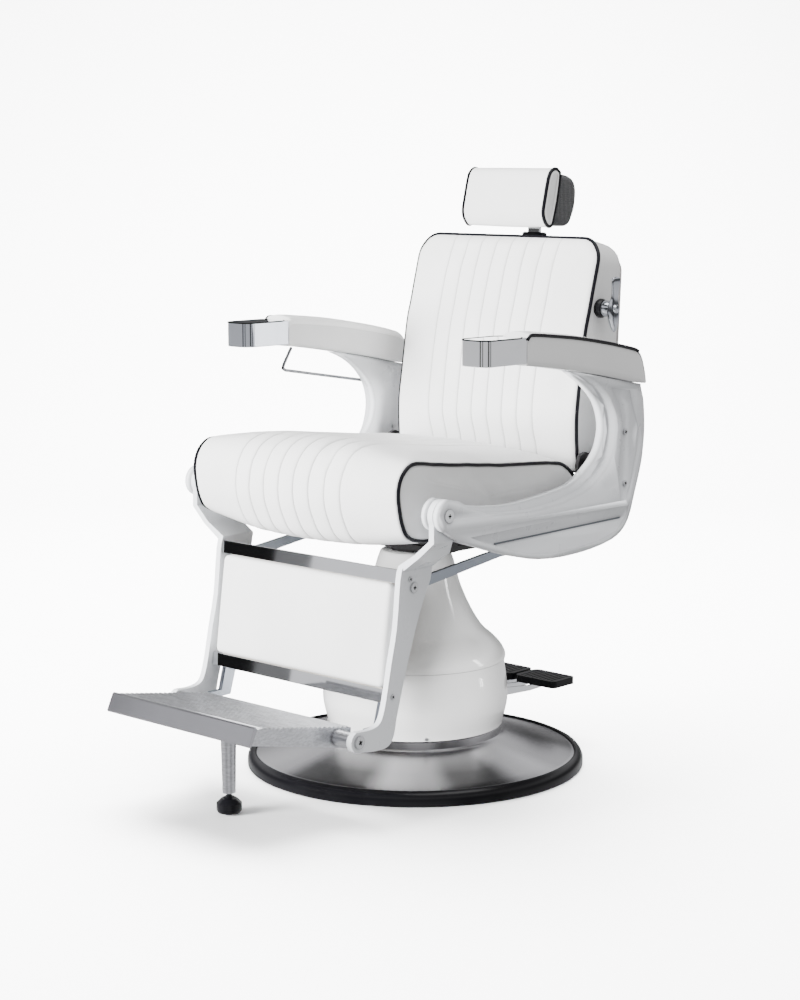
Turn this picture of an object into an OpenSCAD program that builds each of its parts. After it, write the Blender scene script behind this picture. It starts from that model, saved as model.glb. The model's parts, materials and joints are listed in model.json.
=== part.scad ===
// Hydraulic barber chair: pump base, swivel seat, reclining back linked to the leg rest,
// folding footplate, sliding and tilting headrest.
// Frame: millimetres, +Z up, the chair faces -Y, the sitter's left is +X.
// Origin: floor centre of the round base.

/* [Base] */
// Radius over the rubber floor ring
base_r = 320; // [314:1:326]
// Height of the rubber floor ring
ring_h = 28; // [27:1:30]
// Height of the top edge of the lower pump cover
cover_top = 205; // [202:1:205]

/* [Column] */
// Radius of the lifting ram
ram_r = 40; // [34:1:42]
// Outer radius of the hydraulic cylinder
cyl_r = 50; // [47:1:50]
// Radius of the swivel spigot on top of the ram
spigot_r = 25; // [20:1:26]

/* [Side frames] */
// Distance from the middle plane to the inner face of a side frame
side_x = 284; // [284:1:286]
// Thickness of a side frame
side_t = 38; // [36:1:40]
// Radius of the leg rest and backrest pivot pins
pin_r = 8; // [7:0.5:9]

/* [Seat] */
// Half of the seat cushion's width
seat_hw = 262; // [250:1:262]
// Extra height of the seat cushion's crown in the middle
seat_crown = 18; // [8:1:20]

/* [Backrest] */
// Half of the backrest's width
back_hw = 228; // [220:1:228]
// Corner radius at the top of the backrest
back_corner = 45; // [35:1:55]

/* [Armrests] */
// Inner side of an armrest pad, measured from the middle plane
arm_x = 265; // [264:1:267]
// Width of an armrest pad
arm_w = 68; // [62:1:70]

/* [Leg rest] */
// Distance from the middle plane to the inner face of a leg arm
leg_x = 224; // [224:1:226]
// Thickness of a leg arm
leg_t = 12; // [10:1:12]
// Height of the polished leg rest rails
rail_h = 24; // [20:1:26]

/* [Footplate] */
// Half of the footplate's width
plate_hw = 183; // [174:1:184]
// Distance between the tread ribs
rib_pitch = 11; // [9:1:14]
// Height of the tread ribs
rib_h = 3; // [2:0.5:4]

/* [Headrest] */
// Half of the headrest cushion's width
head_hw = 103; // [96:1:106]

/* [Hidden] */
$fn = 72;
round_fn = 144;             // facets of the large turned parts
clearance = 0.05;           // radial running clearance
// Pivot axes along x, as [y, z]
leg_pivot = [-261, 539];
back_pivot = [212, 573];
link_front = [-257, 404];   // on the leg arms
// On the back frame: the same crank vector makes the linkage a parallelogram
link_rear = back_pivot + link_front - leg_pivot;
foot_pivot = [-394, 154];
pedal_pivot = [132, 112];
tilt_pivot = [345, 1056];   // headrest tilt
lever_pivot = [262, 862];   // recline lever
cross_tube = [262, 590];    // tube across the back frame
// Radii of the pins
link_pin_r = 7;
foot_pin_r = 7;
shaft_r = 6;
tilt_pin_r = 6;
lever_pin_r = 5;
plunger_r = 9;
// Levels of the column
hub_top = 79;
flange_h = 12;
flange_top = hub_top + flange_h;
gland_z = 372;
bearing_z = 400;
mount_z = 430;              // underside of the plate on the swivel head
mount_t = 10;
rail_z = mount_z + mount_t; // underside of the seat frame's rails
board_z = 489;              // underside of the seat board
// Hole positions
base_bolt_r = 85;
mount_bolt = [130, 75];
bell_screw_r = 54;
plunger_x = 30;
plunger_y = 100;
// Outer faces
side_out = side_x + side_t;
leg_out = leg_x + leg_t;
arm_mid = arm_x + arm_w / 2;
back_tilt = 3.39;           // lean of the backrest's rear face
leg_tilt = 7.67;            // lean of the leg rest panel
NODES = ["floor_plate", "floor_ring", "ram_cylinder", "gland_ring", "base_bolts",
  "pump_block", "pedal_shaft", "pump_housing", "housing_screws",
  "ram_piston", "thrust_bearing",
  "swivel_head", "head_bolts", "bell_cover", "bell_screws", "seat_frame", "seat_board",
  "seat_cushion", "side_frame_left", "side_frame_right", "frame_screws",
  "leg_pivot_pins", "back_pivot_pins", "arm_bars", "arm_pad_left", "arm_pad_right",
  "arm_box_left", "arm_box_right", "towel_bar",
  "back_frame", "back_cushion", "back_board", "back_panel", "neck_collar", "lever_boss",
  "link_bolts_rear", "recline_lever", "neck_bar",
  "head_plate", "head_cushion", "head_rear_pad",
  "leg_arm_left", "leg_arm_right", "leg_rail_upper", "leg_rail_lower", "calf_board",
  "calf_panel", "leg_struts", "leg_screws", "link_bolts_front", "foot_pivot_bolts",
  "link_bar_left", "link_bar_right",
  "footplate", "front_lip", "support_leg", "leveling_foot",
  "pump_pedal", "release_pedal", "pump_plunger"];
node = "all";

// ---- helpers ----
// Point i of a list, held at its ends
function held(points, i) = points[max(0, min(len(points) - 1, i))];
// Catmull-Rom spline between b and c, at t from 0 to 1
function spline(a, b, c, d, t) =
  0.5 * (2 * b + (c - a) * t + (2 * a - 5 * b + 4 * c - d) * t * t
    + (3 * b - a - 3 * c + d) * t * t * t);
// Points of a smooth open curve through the given points
function smooth(points, steps = 4) = concat(
  [for (i = [0:len(points) - 2]) for (j = [0:steps - 1])
    spline(held(points, i - 1), points[i], points[i + 1], held(points, i + 2), j / steps)],
  [points[len(points) - 1]]);
function shift(points, offset) = [for (p = points) p + offset];
function reversed(points) = [for (i = [len(points) - 1:-1:0]) points[i]];
function arc(centre, r, angles) = [for (a = angles) centre + r * [cos(a), sin(a)]];

// Plate with a side-view outline [y, z], between two x positions
module plate(outline, x0, x1)
  translate([x0, 0, 0]) rotate([90, 0, 90]) linear_extrude(x1 - x0) polygon(outline);
// The same, centred on the middle plane
module mid_plate(outline, half_width) plate(outline, -half_width, half_width);
// Round bar along x, at pos = [y, z]
module x_rod(pos, r, x0, x1)
  translate([x0, pos[0], pos[1]]) rotate([0, 90, 0]) cylinder(h = x1 - x0, r = r);
module mirrored() mirror([1, 0, 0]) children();
module both_sides() {
  children();
  mirrored() children();
}
// Local frame of the backrest's rear face
module on_back() translate([0, 328, 560]) rotate([-back_tilt, 0, 0]) children();
// Local frame of the leg rest panel, at the lower rail
module on_leg_rest() translate([0, -311, 217]) rotate([-leg_tilt, 0, 0]) children();
// Rounded rectangle, centred
module rounded_rect(w, h, r) {
  square([w - 2 * r, h], center = true);
  square([w, h - 2 * r], center = true);
  for (x = [-1, 1]) for (y = [-1, 1])
    translate([x * (w / 2 - r), y * (h / 2 - r)]) circle(r = r);
}

// ---- base ----
hub_r = 165;
// Radius drawn for a 320 mm base, stretched outside the hub with the base size
function stretched(r) = hub_r + (r - hub_r) * (base_r - hub_r) / (320 - hub_r);
module at_base_bolts() for (a = [30:60:330]) rotate(a) translate([base_bolt_r, 0, 0]) children();
// Radial places on the pump housing, with local z pointing along the screw
module at_housing_screws()
  for (a = [-40:90:230]) rotate(a) translate([0, 0, 84]) rotate([90, 0, 0]) children();

module floor_plate() color("silver") {
  // [radius, z] down the sloping top
  slope = smooth([[168, 61], [178, 57.4], [stretched(195), 52.3], [stretched(220), 45.6],
    [stretched(250), 37.8], [stretched(280), 30], [stretched(304), 23.4]]);
  difference() {
    rotate_extrude($fn = round_fn) polygon(concat(
      [[51, hub_top], [163, hub_top], [hub_r, 77], [hub_r, 64]], slope,
      [[base_r - 8.2, 19.4], [base_r - 8.2, 9.2], [base_r - 11.2, 9.2], [base_r - 11.2, 17.4]],
      reversed(shift(slope, [-0.6, -3])), [[162, 60], [162, 75.5], [51, 75.5]]));
    at_base_bolts() translate([0, 0, 70]) cylinder(h = 20, r = 5.5);
  }
}
module floor_ring() color("#1c1c1e") rotate_extrude($fn = round_fn)
  polygon([[base_r - 32, 0], [base_r - 2, 0], [base_r, 2], [base_r, 14],
    [base_r - 2.5, 20.5], [base_r - 7, 25.5], [base_r - 12, ring_h],
    [base_r - 15.5, ring_h - 1.4], [base_r - 15.5, ring_h - 3.9],
    [base_r - 8, 20], [base_r - 8, 9], [base_r - 32, 9]]);
module ram_cylinder() color("gray") difference() {
  union() {
    translate([0, 0, 14]) cylinder(h = gland_z - 14, r = cyl_r);
    translate([0, 0, hub_top]) cylinder(h = flange_h, r = 105);
  }
  translate([0, 0, 22]) cylinder(h = 360, r = ram_r + clearance);
  at_base_bolts() translate([0, 0, 70]) cylinder(h = 30, r = 5.5);
}
module gland_ring() color("dimgray") translate([0, 0, gland_z]) difference() {
  cylinder(h = 10, r = cyl_r + 5);
  translate([0, 0, -1]) cylinder(h = 12, r = ram_r + clearance);
}
module base_bolts() color("silver") at_base_bolts() {
  translate([0, 0, 68]) cylinder(h = flange_top - 68, r = 5);
  translate([0, 0, flange_top]) cylinder(h = 6.5, r = 9, $fn = 6);
}
// Cast pump body with the reservoir, the plunger barrel and the ears of the pedal shaft
module pump_block() color("gray") difference() {
  union() {
    translate([-60, 55, flange_top]) cube([120, 27, 74]);
    translate([-60, 82, flange_top]) cube([120, 34, 10]);
    translate([plunger_x, plunger_y, 96]) cylinder(h = 40, r = 13);
    for (ear = [[-60, -54], [-5, 5], [54, 60]])
      plate(concat([[100, 91], [116, 91]], shift([[14, 0], [10, 12], [-8, 14]], pedal_pivot),
        [[100, 101]]), ear[0], ear[1]);
  }
  translate([plunger_x, plunger_y, 104]) cylinder(h = 40, r = plunger_r + clearance);
  // Room for the base bolt under the block
  translate([0, base_bolt_r, 90]) cylinder(h = 80, r = 10.5);
  x_rod(pedal_pivot, shaft_r + clearance, -70, 70);
}
module pedal_shaft() color("silver") x_rod(pedal_pivot, shaft_r, -63, 63);
module pump_housing() color("white") {
  // [radius, z] up the outside
  wall = smooth([[165.5, 79.5], [167, 88], [173, 110], [176, 135], [173.5, 168], [169.5, 192],
    [170, cover_top]]);
  difference() {
    rotate_extrude($fn = round_fn) polygon(concat(wall,
      [[160, cover_top], [160, cover_top - 2.5]], reversed(shift(wall, [-2.5, 0]))));
    // Opening for the pedals
    translate([-66, 120, 84]) cube([132, 80, 40]);
    at_housing_screws() translate([0, 0, 160]) cylinder(h = 10, r = 3.25);
  }
}
module housing_screws() color("silver")
  at_housing_screws() translate([0, 0, 165]) cylinder(h = 3.4, r = 3.2);

// ---- ram ----
module ram_piston() color("silver") {
  translate([0, 0, 90]) cylinder(h = bearing_z - 90, r = ram_r);
  translate([0, 0, bearing_z]) cylinder(h = 27.5, r = spigot_r);
}
module thrust_bearing() color("gray") translate([0, 0, bearing_z]) difference() {
  cylinder(h = 6, r = 39);
  translate([0, 0, -1]) cylinder(h = 8, r = spigot_r + 0.5);
}

// ---- swivel head and seat ----
module at_mount_bolts()
  for (x = [-1, 1]) for (y = [-1, 1])
    translate([x * mount_bolt[0], y * mount_bolt[1], 0]) children();
module at_bell_screws()
  for (a = [45:90:315]) rotate(a) translate([bell_screw_r, 0, 0]) children();

module swivel_head() color("#2b2b2d") difference() {
  union() {
    translate([0, 0, 406.2]) cylinder(h = 24, r = 44);
    translate([-150, -95, mount_z]) cube([300, 190, mount_t]);
  }
  translate([0, 0, bearing_z]) cylinder(h = 28, r = spigot_r + clearance);
  at_mount_bolts() translate([0, 0, 420]) cylinder(h = 30, r = 5.5);
}
module head_bolts() color("silver") at_mount_bolts() {
  translate([0, 0, mount_z - 6]) cylinder(h = 6, r = 9, $fn = 6);
  translate([0, 0, mount_z]) cylinder(h = 22, r = 5);
}
module bell_cover() color("white") {
  // [radius, z] down the outside
  wall = smooth([[62, 411.8], [66, 409], [71, 396], [76, 379], [85, 346], [98, 314],
    [113, 285], [130, 260], [149, 243], [163, 228], [170.5, 214], [171, 206]]);
  difference() {
    rotate_extrude($fn = round_fn) polygon(concat([[46, 412]], wall,
      reversed(shift(wall, [-2.8, -2.2])), [[46, 409.4]]));
    at_bell_screws() translate([0, 0, 400]) cylinder(h = 20, r = 2.6);
    // Level the lower edge
    translate([0, 0, 200]) cylinder(h = 6, r = 180);
  }
}
module bell_screws() color("silver") at_bell_screws() {
  translate([0, 0, 412]) cylinder(h = 2.6, r = 4.5);
  translate([0, 0, 405]) cylinder(h = 7, r = 2.5);
}
module seat_frame() color("#26262a") difference() {
  union() {
    for (x = [-145, 115]) translate([x, -205, rail_z]) cube([30, 446, 41]);
    // Front, middle and rear cross bars
    translate([-side_x, -205, board_z - 8]) cube([2 * side_x, 40, 8]);
    translate([-145, 60, board_z - 8]) cube([290, 40, 8]);
    translate([-253, 240, 452]) cube([506, 22, 26]);
    both_sides() {
      // Lug under the front cross bar
      plate([[-196, 481], [-192, 462], [-188, 458], [-172, 458], [-167, 463], [-165, 481]],
        246, 258);
      // Bracket of the backrest pivot
      difference() {
        plate(concat(
          shift([[-22, 6], [-14, 19], [0, 24], [14, 19], [22, 8], [30, -33]], back_pivot),
          [[264, 478], [264, 452], [240, 452], [236, 480]],
          shift([[-4, -53], [-22, -10]], back_pivot)), 253, 261);
        x_rod(back_pivot, pin_r, 240, 270);
      }
      x_rod([228, 534], 12, 261, side_x);
    }
  }
  at_mount_bolts() translate([0, 0, mount_z]) cylinder(h = 30, r = 5.5);
  // Hollow inside of the rails
  for (x = [-142, 118]) translate([x, -206, rail_z + 3]) cube([24, 440, 35]);
  // The rails taper upwards to the front
  mid_plate([[-210, 430], [-210, 470], [-196, 470], [-90, 440], [-90, 430]], 150);
}
module seat_board() color("burlywood") translate([-205, -252, board_z]) cube([410, 404, 12]);
// Three overlapping layers, each narrower and higher than the last
module seat_cushion() color("whitesmoke") difference() {
  union() {
    mid_plate([[-255, 486], [-282, 491], [-301, 502], [-311, 519], [-318, 541], [-323, 574],
      [-318, 599], [-304, 617], [-285, 627], [-251, 625], [-153, 614], [-51, 603], [55, 595],
      [110, 589], [132, 580], [149, 564], [161, 543], [163, 500], [156, 486]], seat_hw);
    mid_plate(concat(
      [[-262, 470], [-285, 472], [-306, 487], [-322, 515], [-331, 545], [-332, 578],
        [-325, 606], [-308, 628]],
      shift([[-285, 627], [-251, 625], [-153, 614], [-51, 603], [55, 595]],
        [0, 0.6 * seat_crown]),
      [[112, 589 + 0.4 * seat_crown], [140, 578], [160, 556], [164, 530], [164, 490]]),
      seat_hw - 22);
    mid_plate(concat(
      [[-262, 462], [-285, 464], [-309, 482], [-327, 513], [-337, 545], [-338, 580],
        [-330, 610], [-312, 634]],
      shift([[-285, 627], [-251, 627], [-153, 616], [-51, 605], [55, 596]], [0, seat_crown]),
      [[112, 589 + 0.6 * seat_crown], [142, 580], [162, 558], [165, 530], [165, 490]]), 205);
  }
  // Rest on the front cross bar
  translate([-300, -206, 470]) cube([600, 42, 19.3]);
  // Seat board pocket
  translate([-243, -262, 440]) cube([486, 460, 61.2]);
  // Room for the link bars and the back frame's lower arms
  both_sides() {
    translate([209, -262, 440]) cube([34, 460, 69]);
    plate([[96, 500], [96, 509], [170, 575], [200, 575], [200, 480], [96, 480]], 209, 243);
    translate([209, -400, 440]) cube([34, 150, 34]);
  }
}

// ---- side frames ----
inner_t = 16;   // thickness of the inner layer of a side frame
// [y, z] from under the armrest down the rear, along the bottom and round the knuckle
frame_edge = concat(
  smooth([[268, 726], [272, 712], [278, 693], [282, 646], [278, 600], [271, 569], [255, 524],
    [236, 476], [204, 449], [150, 436], [83, 430], [17, 430], [-47, 437], [-109, 453],
    [-166, 471], [-210, 484], [-242, 496], [-262, 507]], 3),
  arc(leg_pivot, 29, [-100:-15:-265]),
  [[-236, 562], [-211, 549]]);
// [y, z] of the upper edge, from the knuckle to under the armrest, for each layer
outer_top = smooth([[-160, 533], [-134, 529], [-44, 523], [37, 528], [64, 533], [111, 543],
  [149, 563], [178, 588], [192, 617], [197, 654], [186, 691], [161, 721], [127, 744],
  [88, 759.5]], 3);
inner_top = smooth([[-211, 551], [-151, 541], [-69, 536], [15, 542], [70, 549], [103, 557],
  [138, 577], [166, 600], [180, 624], [185, 654], [175, 688], [151, 716], [118, 740],
  [82, 761]], 3);
module side_frame() difference() {
  union() {
    plate(concat(frame_edge, outer_top), side_x + inner_t, side_out);
    plate(concat(frame_edge, inner_top), side_x, side_x + inner_t);
  }
  // Fork for the leg arm's tongue
  x_rod(leg_pivot, 56, side_x + 9, side_x + 27);
  x_rod(leg_pivot, pin_r + clearance, side_x - 1, side_out + 1);
  // Shallow panels at the rear and along the bottom of the outer face
  plate([[181, 725], [236, 716], [243, 690], [262, 646], [258, 602], [240, 540], [228, 512],
    [214, 512], [205, 560], [212, 610], [216, 656], [206, 694]], side_out - 1.5, side_out + 1);
  plate([[-206, 495.5], [236, 501], [229, 482], [201, 457], [150, 446], [83, 440], [17, 440],
    [-47, 447], [-109, 463], [-166, 480]], side_out - 1.5, side_out + 1);
  // Deeper groove within the bottom panel
  plate([[-144, 474.5], [215, 479.5], [215, 482.5], [-144, 477.5]], side_out - 2.7, side_out + 1);
}
module side_frame_left() color("gainsboro") side_frame();
module side_frame_right() color("gainsboro") mirrored() side_frame();
module frame_screws() color("silver") both_sides() {
  for (pos = [[224, 640], [225, 544]]) x_rod(pos, 5, side_out - 1.5, side_out + 1.5);
  for (pos = [[240, 600], [190, 470]]) x_rod(pos, 4.5, side_x - 2, side_x);
}
module leg_pivot_pins() color("silver") both_sides() {
  x_rod(leg_pivot, pin_r, side_x + 1, side_out);
  x_rod(leg_pivot, pin_r + 3, side_out, side_out + 2);
}
module back_pivot_pins() color("#222224") both_sides() {
  x_rod(back_pivot, pin_r, 230, 264);
  x_rod(back_pivot, pin_r + 6, 261.1, 268);
}

// ---- armrests ----
module arm_bars() color("gray") both_sides()
  plate([[-170, 790], [-69, 790], [-60, 782], [2, 774], [73, 763], [154, 749], [238, 732],
    [238, 740], [154, 757], [73, 771], [2, 782], [-60, 791], [-69, 798], [-170, 798]], 287, 311);
module arm_pad() difference() {
  plate(concat(
    [[-70, 783], [-69, 824], [-64, 832], [-53, 836]],
    smooth([[-7, 832], [72, 823], [153, 810], [225, 797]], 3),
    [[245, 791], [258, 777], [268, 750], [272, 733]],
    // Underside
    [[268, 727], [238, 732], [154, 749], [73, 763], [2, 774], [-69, 782]]),
    arm_x, arm_x + arm_w);
  // Slot for the arm bar
  plate([[-80, 780], [-60, 780], [2, 773.5], [73, 762.5], [154, 748.5], [238, 731.5],
    [240, 731], [240, 741], [154, 758], [73, 772], [2, 783], [-60, 792], [-69, 799],
    [-80, 799]], 286, 312);
}
module arm_pad_left() color("whitesmoke") arm_pad();
module arm_pad_right() color("whitesmoke") mirrored() arm_pad();
// Front end of an armrest: a box open towards the pad, rounded in front
module arm_box() {
  wall = 3;
  bottom = 786;
  height = 46;
  inner_w = arm_w - 8;
  difference() {
    translate([arm_mid, -125, bottom]) linear_extrude(height) rounded_rect(arm_w - 2, 110, 22);
    translate([arm_mid, -125, bottom + wall]) linear_extrude(height - 2 * wall)
      rounded_rect(inner_w, 104, 19);
    translate([arm_x + 4, -100, bottom + wall]) cube([inner_w, 40, height - 2 * wall]);
  }
  // Square rear end
  difference() {
    translate([arm_x + 1, -100, bottom]) cube([arm_w - 2, 29.8, height]);
    translate([arm_x + 4, -110, bottom + wall]) cube([inner_w, 50, height - 2 * wall]);
  }
}
module arm_box_left() color("silver") arm_box();
module arm_box_right() color("silver") mirrored() arm_box();
// Bent rod on the outside of the right side frame
module towel_bar() color("silver") {
  // [y, z]
  path = [[-6, 771], [-26, 740], [-28, 733], [-21, 729], [207, 692], [219, 696], [229, 729]];
  for (i = [0:len(path) - 2]) hull() {
    translate([-328, path[i][0], path[i][1]]) sphere(r = 3, $fn = 16);
    translate([-328, path[i + 1][0], path[i + 1][1]]) sphere(r = 3, $fn = 16);
  }
}

// ---- backrest ----
module back_frame() color("#26262a") difference() {
  union() {
    both_sides() plate(concat(
      shift([[-15, 0], [-11, -10], [0, -15], [11, -10], [15, 0]], link_rear),
      [back_pivot + [22, -10], [272, 578], [276, 590], [270, 602], [256, 604]],
      shift([[16, 17], [0, 23], [-16, 17], [-23, 0]], back_pivot)), 231, 239);
    x_rod(cross_tube, 10, -231, 231);
  }
  both_sides() x_rod(back_pivot, pin_r + clearance, 220, 245);
  both_sides() x_rod(link_rear, link_pin_r + clearance, 220, 245);
}
// [y, z] up the front of the cushion, and down its rear
back_front = smooth([[200, 557], [193, 590], [190, 640], [192, 680], [200, 736], [213, 816],
  [225, 860], [237, 904], [250, 949], [261, 984]], 2);
back_rear = [[326, 978], [331, 965], [309.5, 600], [306, 557]];
module back_cushion() color("whitesmoke") difference() {
  intersection() {
    union() {
      mid_plate(concat(back_front, [[268, 991], [300, 987]], back_rear), back_hw);
      // Raised middle
      mid_plate(concat(shift(back_front, [-9, 0]), [[270, 992], [300, 988]], back_rear),
        back_hw - 28);
    }
    // Front view, rounded at the top only
    translate([0, 400, 772]) rotate([90, 0, 0]) linear_extrude(300) {
      rounded_rect(2 * back_hw, 440, back_corner);
      translate([-back_hw, -220]) square([2 * back_hw, 100]);
    }
  }
  x_rod(cross_tube, 10.6, -260, 260);
  // Notch for the neck collar
  translate([-30, 328, 961]) cube([60, 45, 40]);
  both_sides() x_rod(back_pivot, 26, 226, 270);
}
module back_board() color("burlywood") on_back() difference() {
  translate([-205, -18, 6]) cube([410, 12, 392]);
  // Slot for the neck bar
  translate([-20, -20, 110]) cube([40, 16, 320]);
}
module back_panel() color("whitesmoke") on_back()
  mid_plate([[-6, 4], [2, 10], [8, 60], [11, 150], [12, 260], [10, 340], [3, 395], [-3, 402],
    [-6, 402]], 216);
module neck_collar() color("#222224") on_back() difference() {
  translate([-25, -22, 404]) cube([50, 22, 32]);
  translate([-14.2, -15.2, 390]) cube([28.4, 7.4, 60]);
}
module lever_boss() color("#222224") difference() {
  x_rod(lever_pivot, 17, back_hw, 250);
  x_rod(lever_pivot, lever_pin_r + clearance, back_hw - 1, 260);
}
module link_bolts_rear() color("silver") both_sides() {
  x_rod(link_rear, link_pin_r, 213, 239);
  x_rod(link_rear, 11, 239, 243);
}
module recline_lever() color("silver") {
  x_rod(lever_pivot, lever_pin_r, back_hw + 2, 262);
  x_rod(lever_pivot, 11, 251, 270);
  plate(shift([[-8, 6], [-13, 33], [-12, 52], [-4, 59], [12, 59], [16, 52], [14, 33], [9, 0],
    [7, -22], [4, -38], [0, -42], [-4, -38], [-8, -17]], lever_pivot), 262, 270);
}

// ---- headrest ----
module neck_bar() color("silver") {
  on_back() translate([-14, -15, 190]) cube([28, 7, 306]);
  x_rod(tilt_pivot, 9, -28, 28);
  x_rod(tilt_pivot, tilt_pin_r, -41, 41);
}
module head_plate() color("gray") difference() {
  union() {
    mid_plate([[279, 1021], [283, 1020], [304, 1106], [300, 1107]], 90);
    // Hinge ears
    both_sides() plate(concat([[284, 1036]],
      shift([[0, -13], [9, -9], [12, 0], [9, 9], [0, 13]], tilt_pivot), [[295, 1080]]), 31, 38);
  }
  both_sides() x_rod(tilt_pivot, tilt_pin_r + clearance, 20, 50);
}
module head_cushion() color("whitesmoke") mid_plate(concat(
  smooth([[257, 1013], [248, 1025], [245, 1040], [249, 1059], [256, 1088], [262, 1107],
    [270, 1117], [281, 1121], [291, 1117], [297, 1106]], 2),
  [[276, 1021], [274, 1014], [266, 1010]]), head_hw);
module head_rear_pad() color("#55575a") difference() {
  mid_plate([[286, 1020], [300, 1013], [331, 1011], [345, 1027], [354, 1048], [357, 1075],
    [351, 1097], [334, 1107], [308, 1110]], 96);
  // Room for the hinge and its ears
  translate([-43, 310, 1000]) cube([86, 60, 80]);
  both_sides() plate([[280, 1030], [314, 1034], [314, 1082], [296, 1086]], 30, 39);
}

// ---- leg rest ----
// [y, z] down the rear, round the foot pivot and up the front
leg_edge = concat(
  smooth([[-208, 444], [-214, 412], [-227, 389], [-250, 335], [-278, 254], [-300, 179],
    [-307, 150], [-316, 137], [-330, 131], [-358, 131], [-380, 134]], 3),
  arc(foot_pivot, 19, [-90:-20:-250]),
  smooth([[-372, 170.5], [-352, 173], [-338, 183], [-327, 215], [-314, 276], [-300, 337],
    [-291, 420], [-284, 444]], 3));
tongue_x = side_x + 12;
// Upper part, splayed outwards to the knuckle: [corner, size] of each section, going up
leg_splay = [
  [[leg_x, -284, 436], [leg_t, 76, 8]],
  [[side_x - 20, -286, 464], [leg_t, 78, 4]],
  [[tongue_x, -284, 492], [leg_t, 48, 3]]];
module leg_section(i) translate(leg_splay[i][0]) cube(leg_splay[i][1]);
module leg_arm() difference() {
  union() {
    plate(leg_edge, leg_x, leg_out);
    for (i = [0, 1]) hull() {
      leg_section(i);
      leg_section(i + 1);
    }
    translate([tongue_x, -284, 494]) cube([leg_t, 46, 44]);
    x_rod(leg_pivot, 27, tongue_x, tongue_x + leg_t);
  }
  x_rod(leg_pivot, pin_r + clearance, side_x, side_x + 40);
  x_rod(link_front, link_pin_r + clearance, leg_x - 5, leg_x + 20);
  x_rod(foot_pivot, foot_pin_r + clearance, leg_x - 5, leg_x + 20);
}
module leg_arm_left() color("gainsboro") leg_arm();
module leg_arm_right() color("gainsboro") mirrored() leg_arm();
// Cross rail centred at height z up the panel
module leg_rail(z) on_leg_rest()
  translate([-leg_x, -3, z - rail_h / 2]) cube([2 * leg_x, 6, rail_h]);
module leg_rail_lower() color("silver") leg_rail(0);
module leg_rail_upper() color("silver") leg_rail(210);
module calf_panel() color("whitesmoke") on_leg_rest()
  mid_plate([[-9, 13.5], [-13, 20], [-15, 60], [-16, 105], [-15, 150], [-13, 190],
    [-9, 196.5], [5, 196.5], [5, 13.5]], 215);
module calf_board() color("burlywood") on_leg_rest()
  translate([-205, 5, -10]) cube([410, 9, 230]);
module leg_struts() color("silver") both_sides()
  plate([[-306, 206], [-318, 162], [-344, 162], [-346, 156], [-344, 150], [-296, 150],
    [-280, 202.5]], 196, 206);
module leg_screws() color("silver") both_sides()
  for (pos = [[-266, 420], [-311, 219]]) x_rod(pos, 4.5, leg_out, leg_out + 2);
module link_bolts_front() color("silver") both_sides() {
  x_rod(link_front, link_pin_r, 213, leg_out);
  x_rod(link_front, 9, leg_out, leg_out + 3);
}
module foot_pivot_bolts() color("silver") both_sides() {
  x_rod(foot_pivot, foot_pin_r, 190, leg_out);
  x_rod(foot_pivot, 11, leg_out, leg_out + 4);
}

// ---- link bars ----
module link_bar() difference() {
  plate(concat(
    shift([[-8, 9], [0, 12]], link_front),
    [[-218, 416], [-57, 435], [60, 445]],
    shift([[-6, 13], [4, 13], [12, 6], [13, -4], [6, -12]], link_rear),
    [[60, 427], [-13, 424], [-221, 396]],
    shift([[2, -12], [-9, -8], [-12, 0]], link_front)), 215, 222.5);
  x_rod(link_front, link_pin_r + clearance, 210, 230);
  x_rod(link_rear, 7.5, 210, 230);
}
module link_bar_left() color("silver") link_bar();
module link_bar_right() color("silver") mirrored() link_bar();

// ---- footplate ----
tread_len = 219;
// Three points for each rib, [distance forwards, height], on a surface rising to the front
rib_points = [[0, 0], [rib_pitch * 0.35, rib_h], [rib_pitch * 0.55, rib_h]];
tread = [for (i = [0:floor(tread_len / rib_pitch) - 1]) for (p = rib_points)
  let (y = -364 - i * rib_pitch - p[0]) [y, 164.5 + (-360 - y) * 38 / 223 + p[1]]];
module footplate() color("silver") difference() {
  union() {
    difference() {
      mid_plate(concat([[-360, 165]], tread, [[-581, 202.5], [-594, 177], [-360, 128]]),
        plate_hw);
      // Hollow inside
      mid_plate([[-366, 120], [-366, 159.5], [-576, 195.5], [-586, 177], [-588, 160]],
        plate_hw - 5);
    }
    // Ribs inside, running front to back
    for (x = [-90, 86])
      plate([[-364, 162], [-364, 134], [-586, 181], [-578, 198]], x, x + 4);
    // Hinge bosses and their lugs
    both_sides() {
      x_rod(foot_pivot, 14, plate_hw - 2, leg_x - 0.5);
      plate(concat([foot_pivot + [0, -13], [-342, 138], [-342, 149.5], [-360, 149.5]],
        shift([[10, 9], [0, 13]], foot_pivot)), plate_hw - 2, 210);
    }
  }
  both_sides() x_rod(foot_pivot, foot_pin_r + clearance, 189, 230);
}
module front_lip() color("gainsboro")
  mid_plate([[-581.2, 203.2], [-584, 207.5], [-588, 205.5], [-601, 178], [-599.5, 174.5],
    [-595.2, 175.8]], plate_hw + 1);
support_y = -480;
foot_thread_r = 5;
module support_leg() color("silver") translate([0, support_y, 0]) difference() {
  union() {
    translate([0, 0, 38]) cylinder(h = 130, r1 = 11.5, r2 = 14.5);
    translate([0, 0, 168]) cylinder(h = 7, r = 15);
  }
  translate([0, 0, 37]) cylinder(h = 45, r = foot_thread_r + clearance);
}
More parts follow.
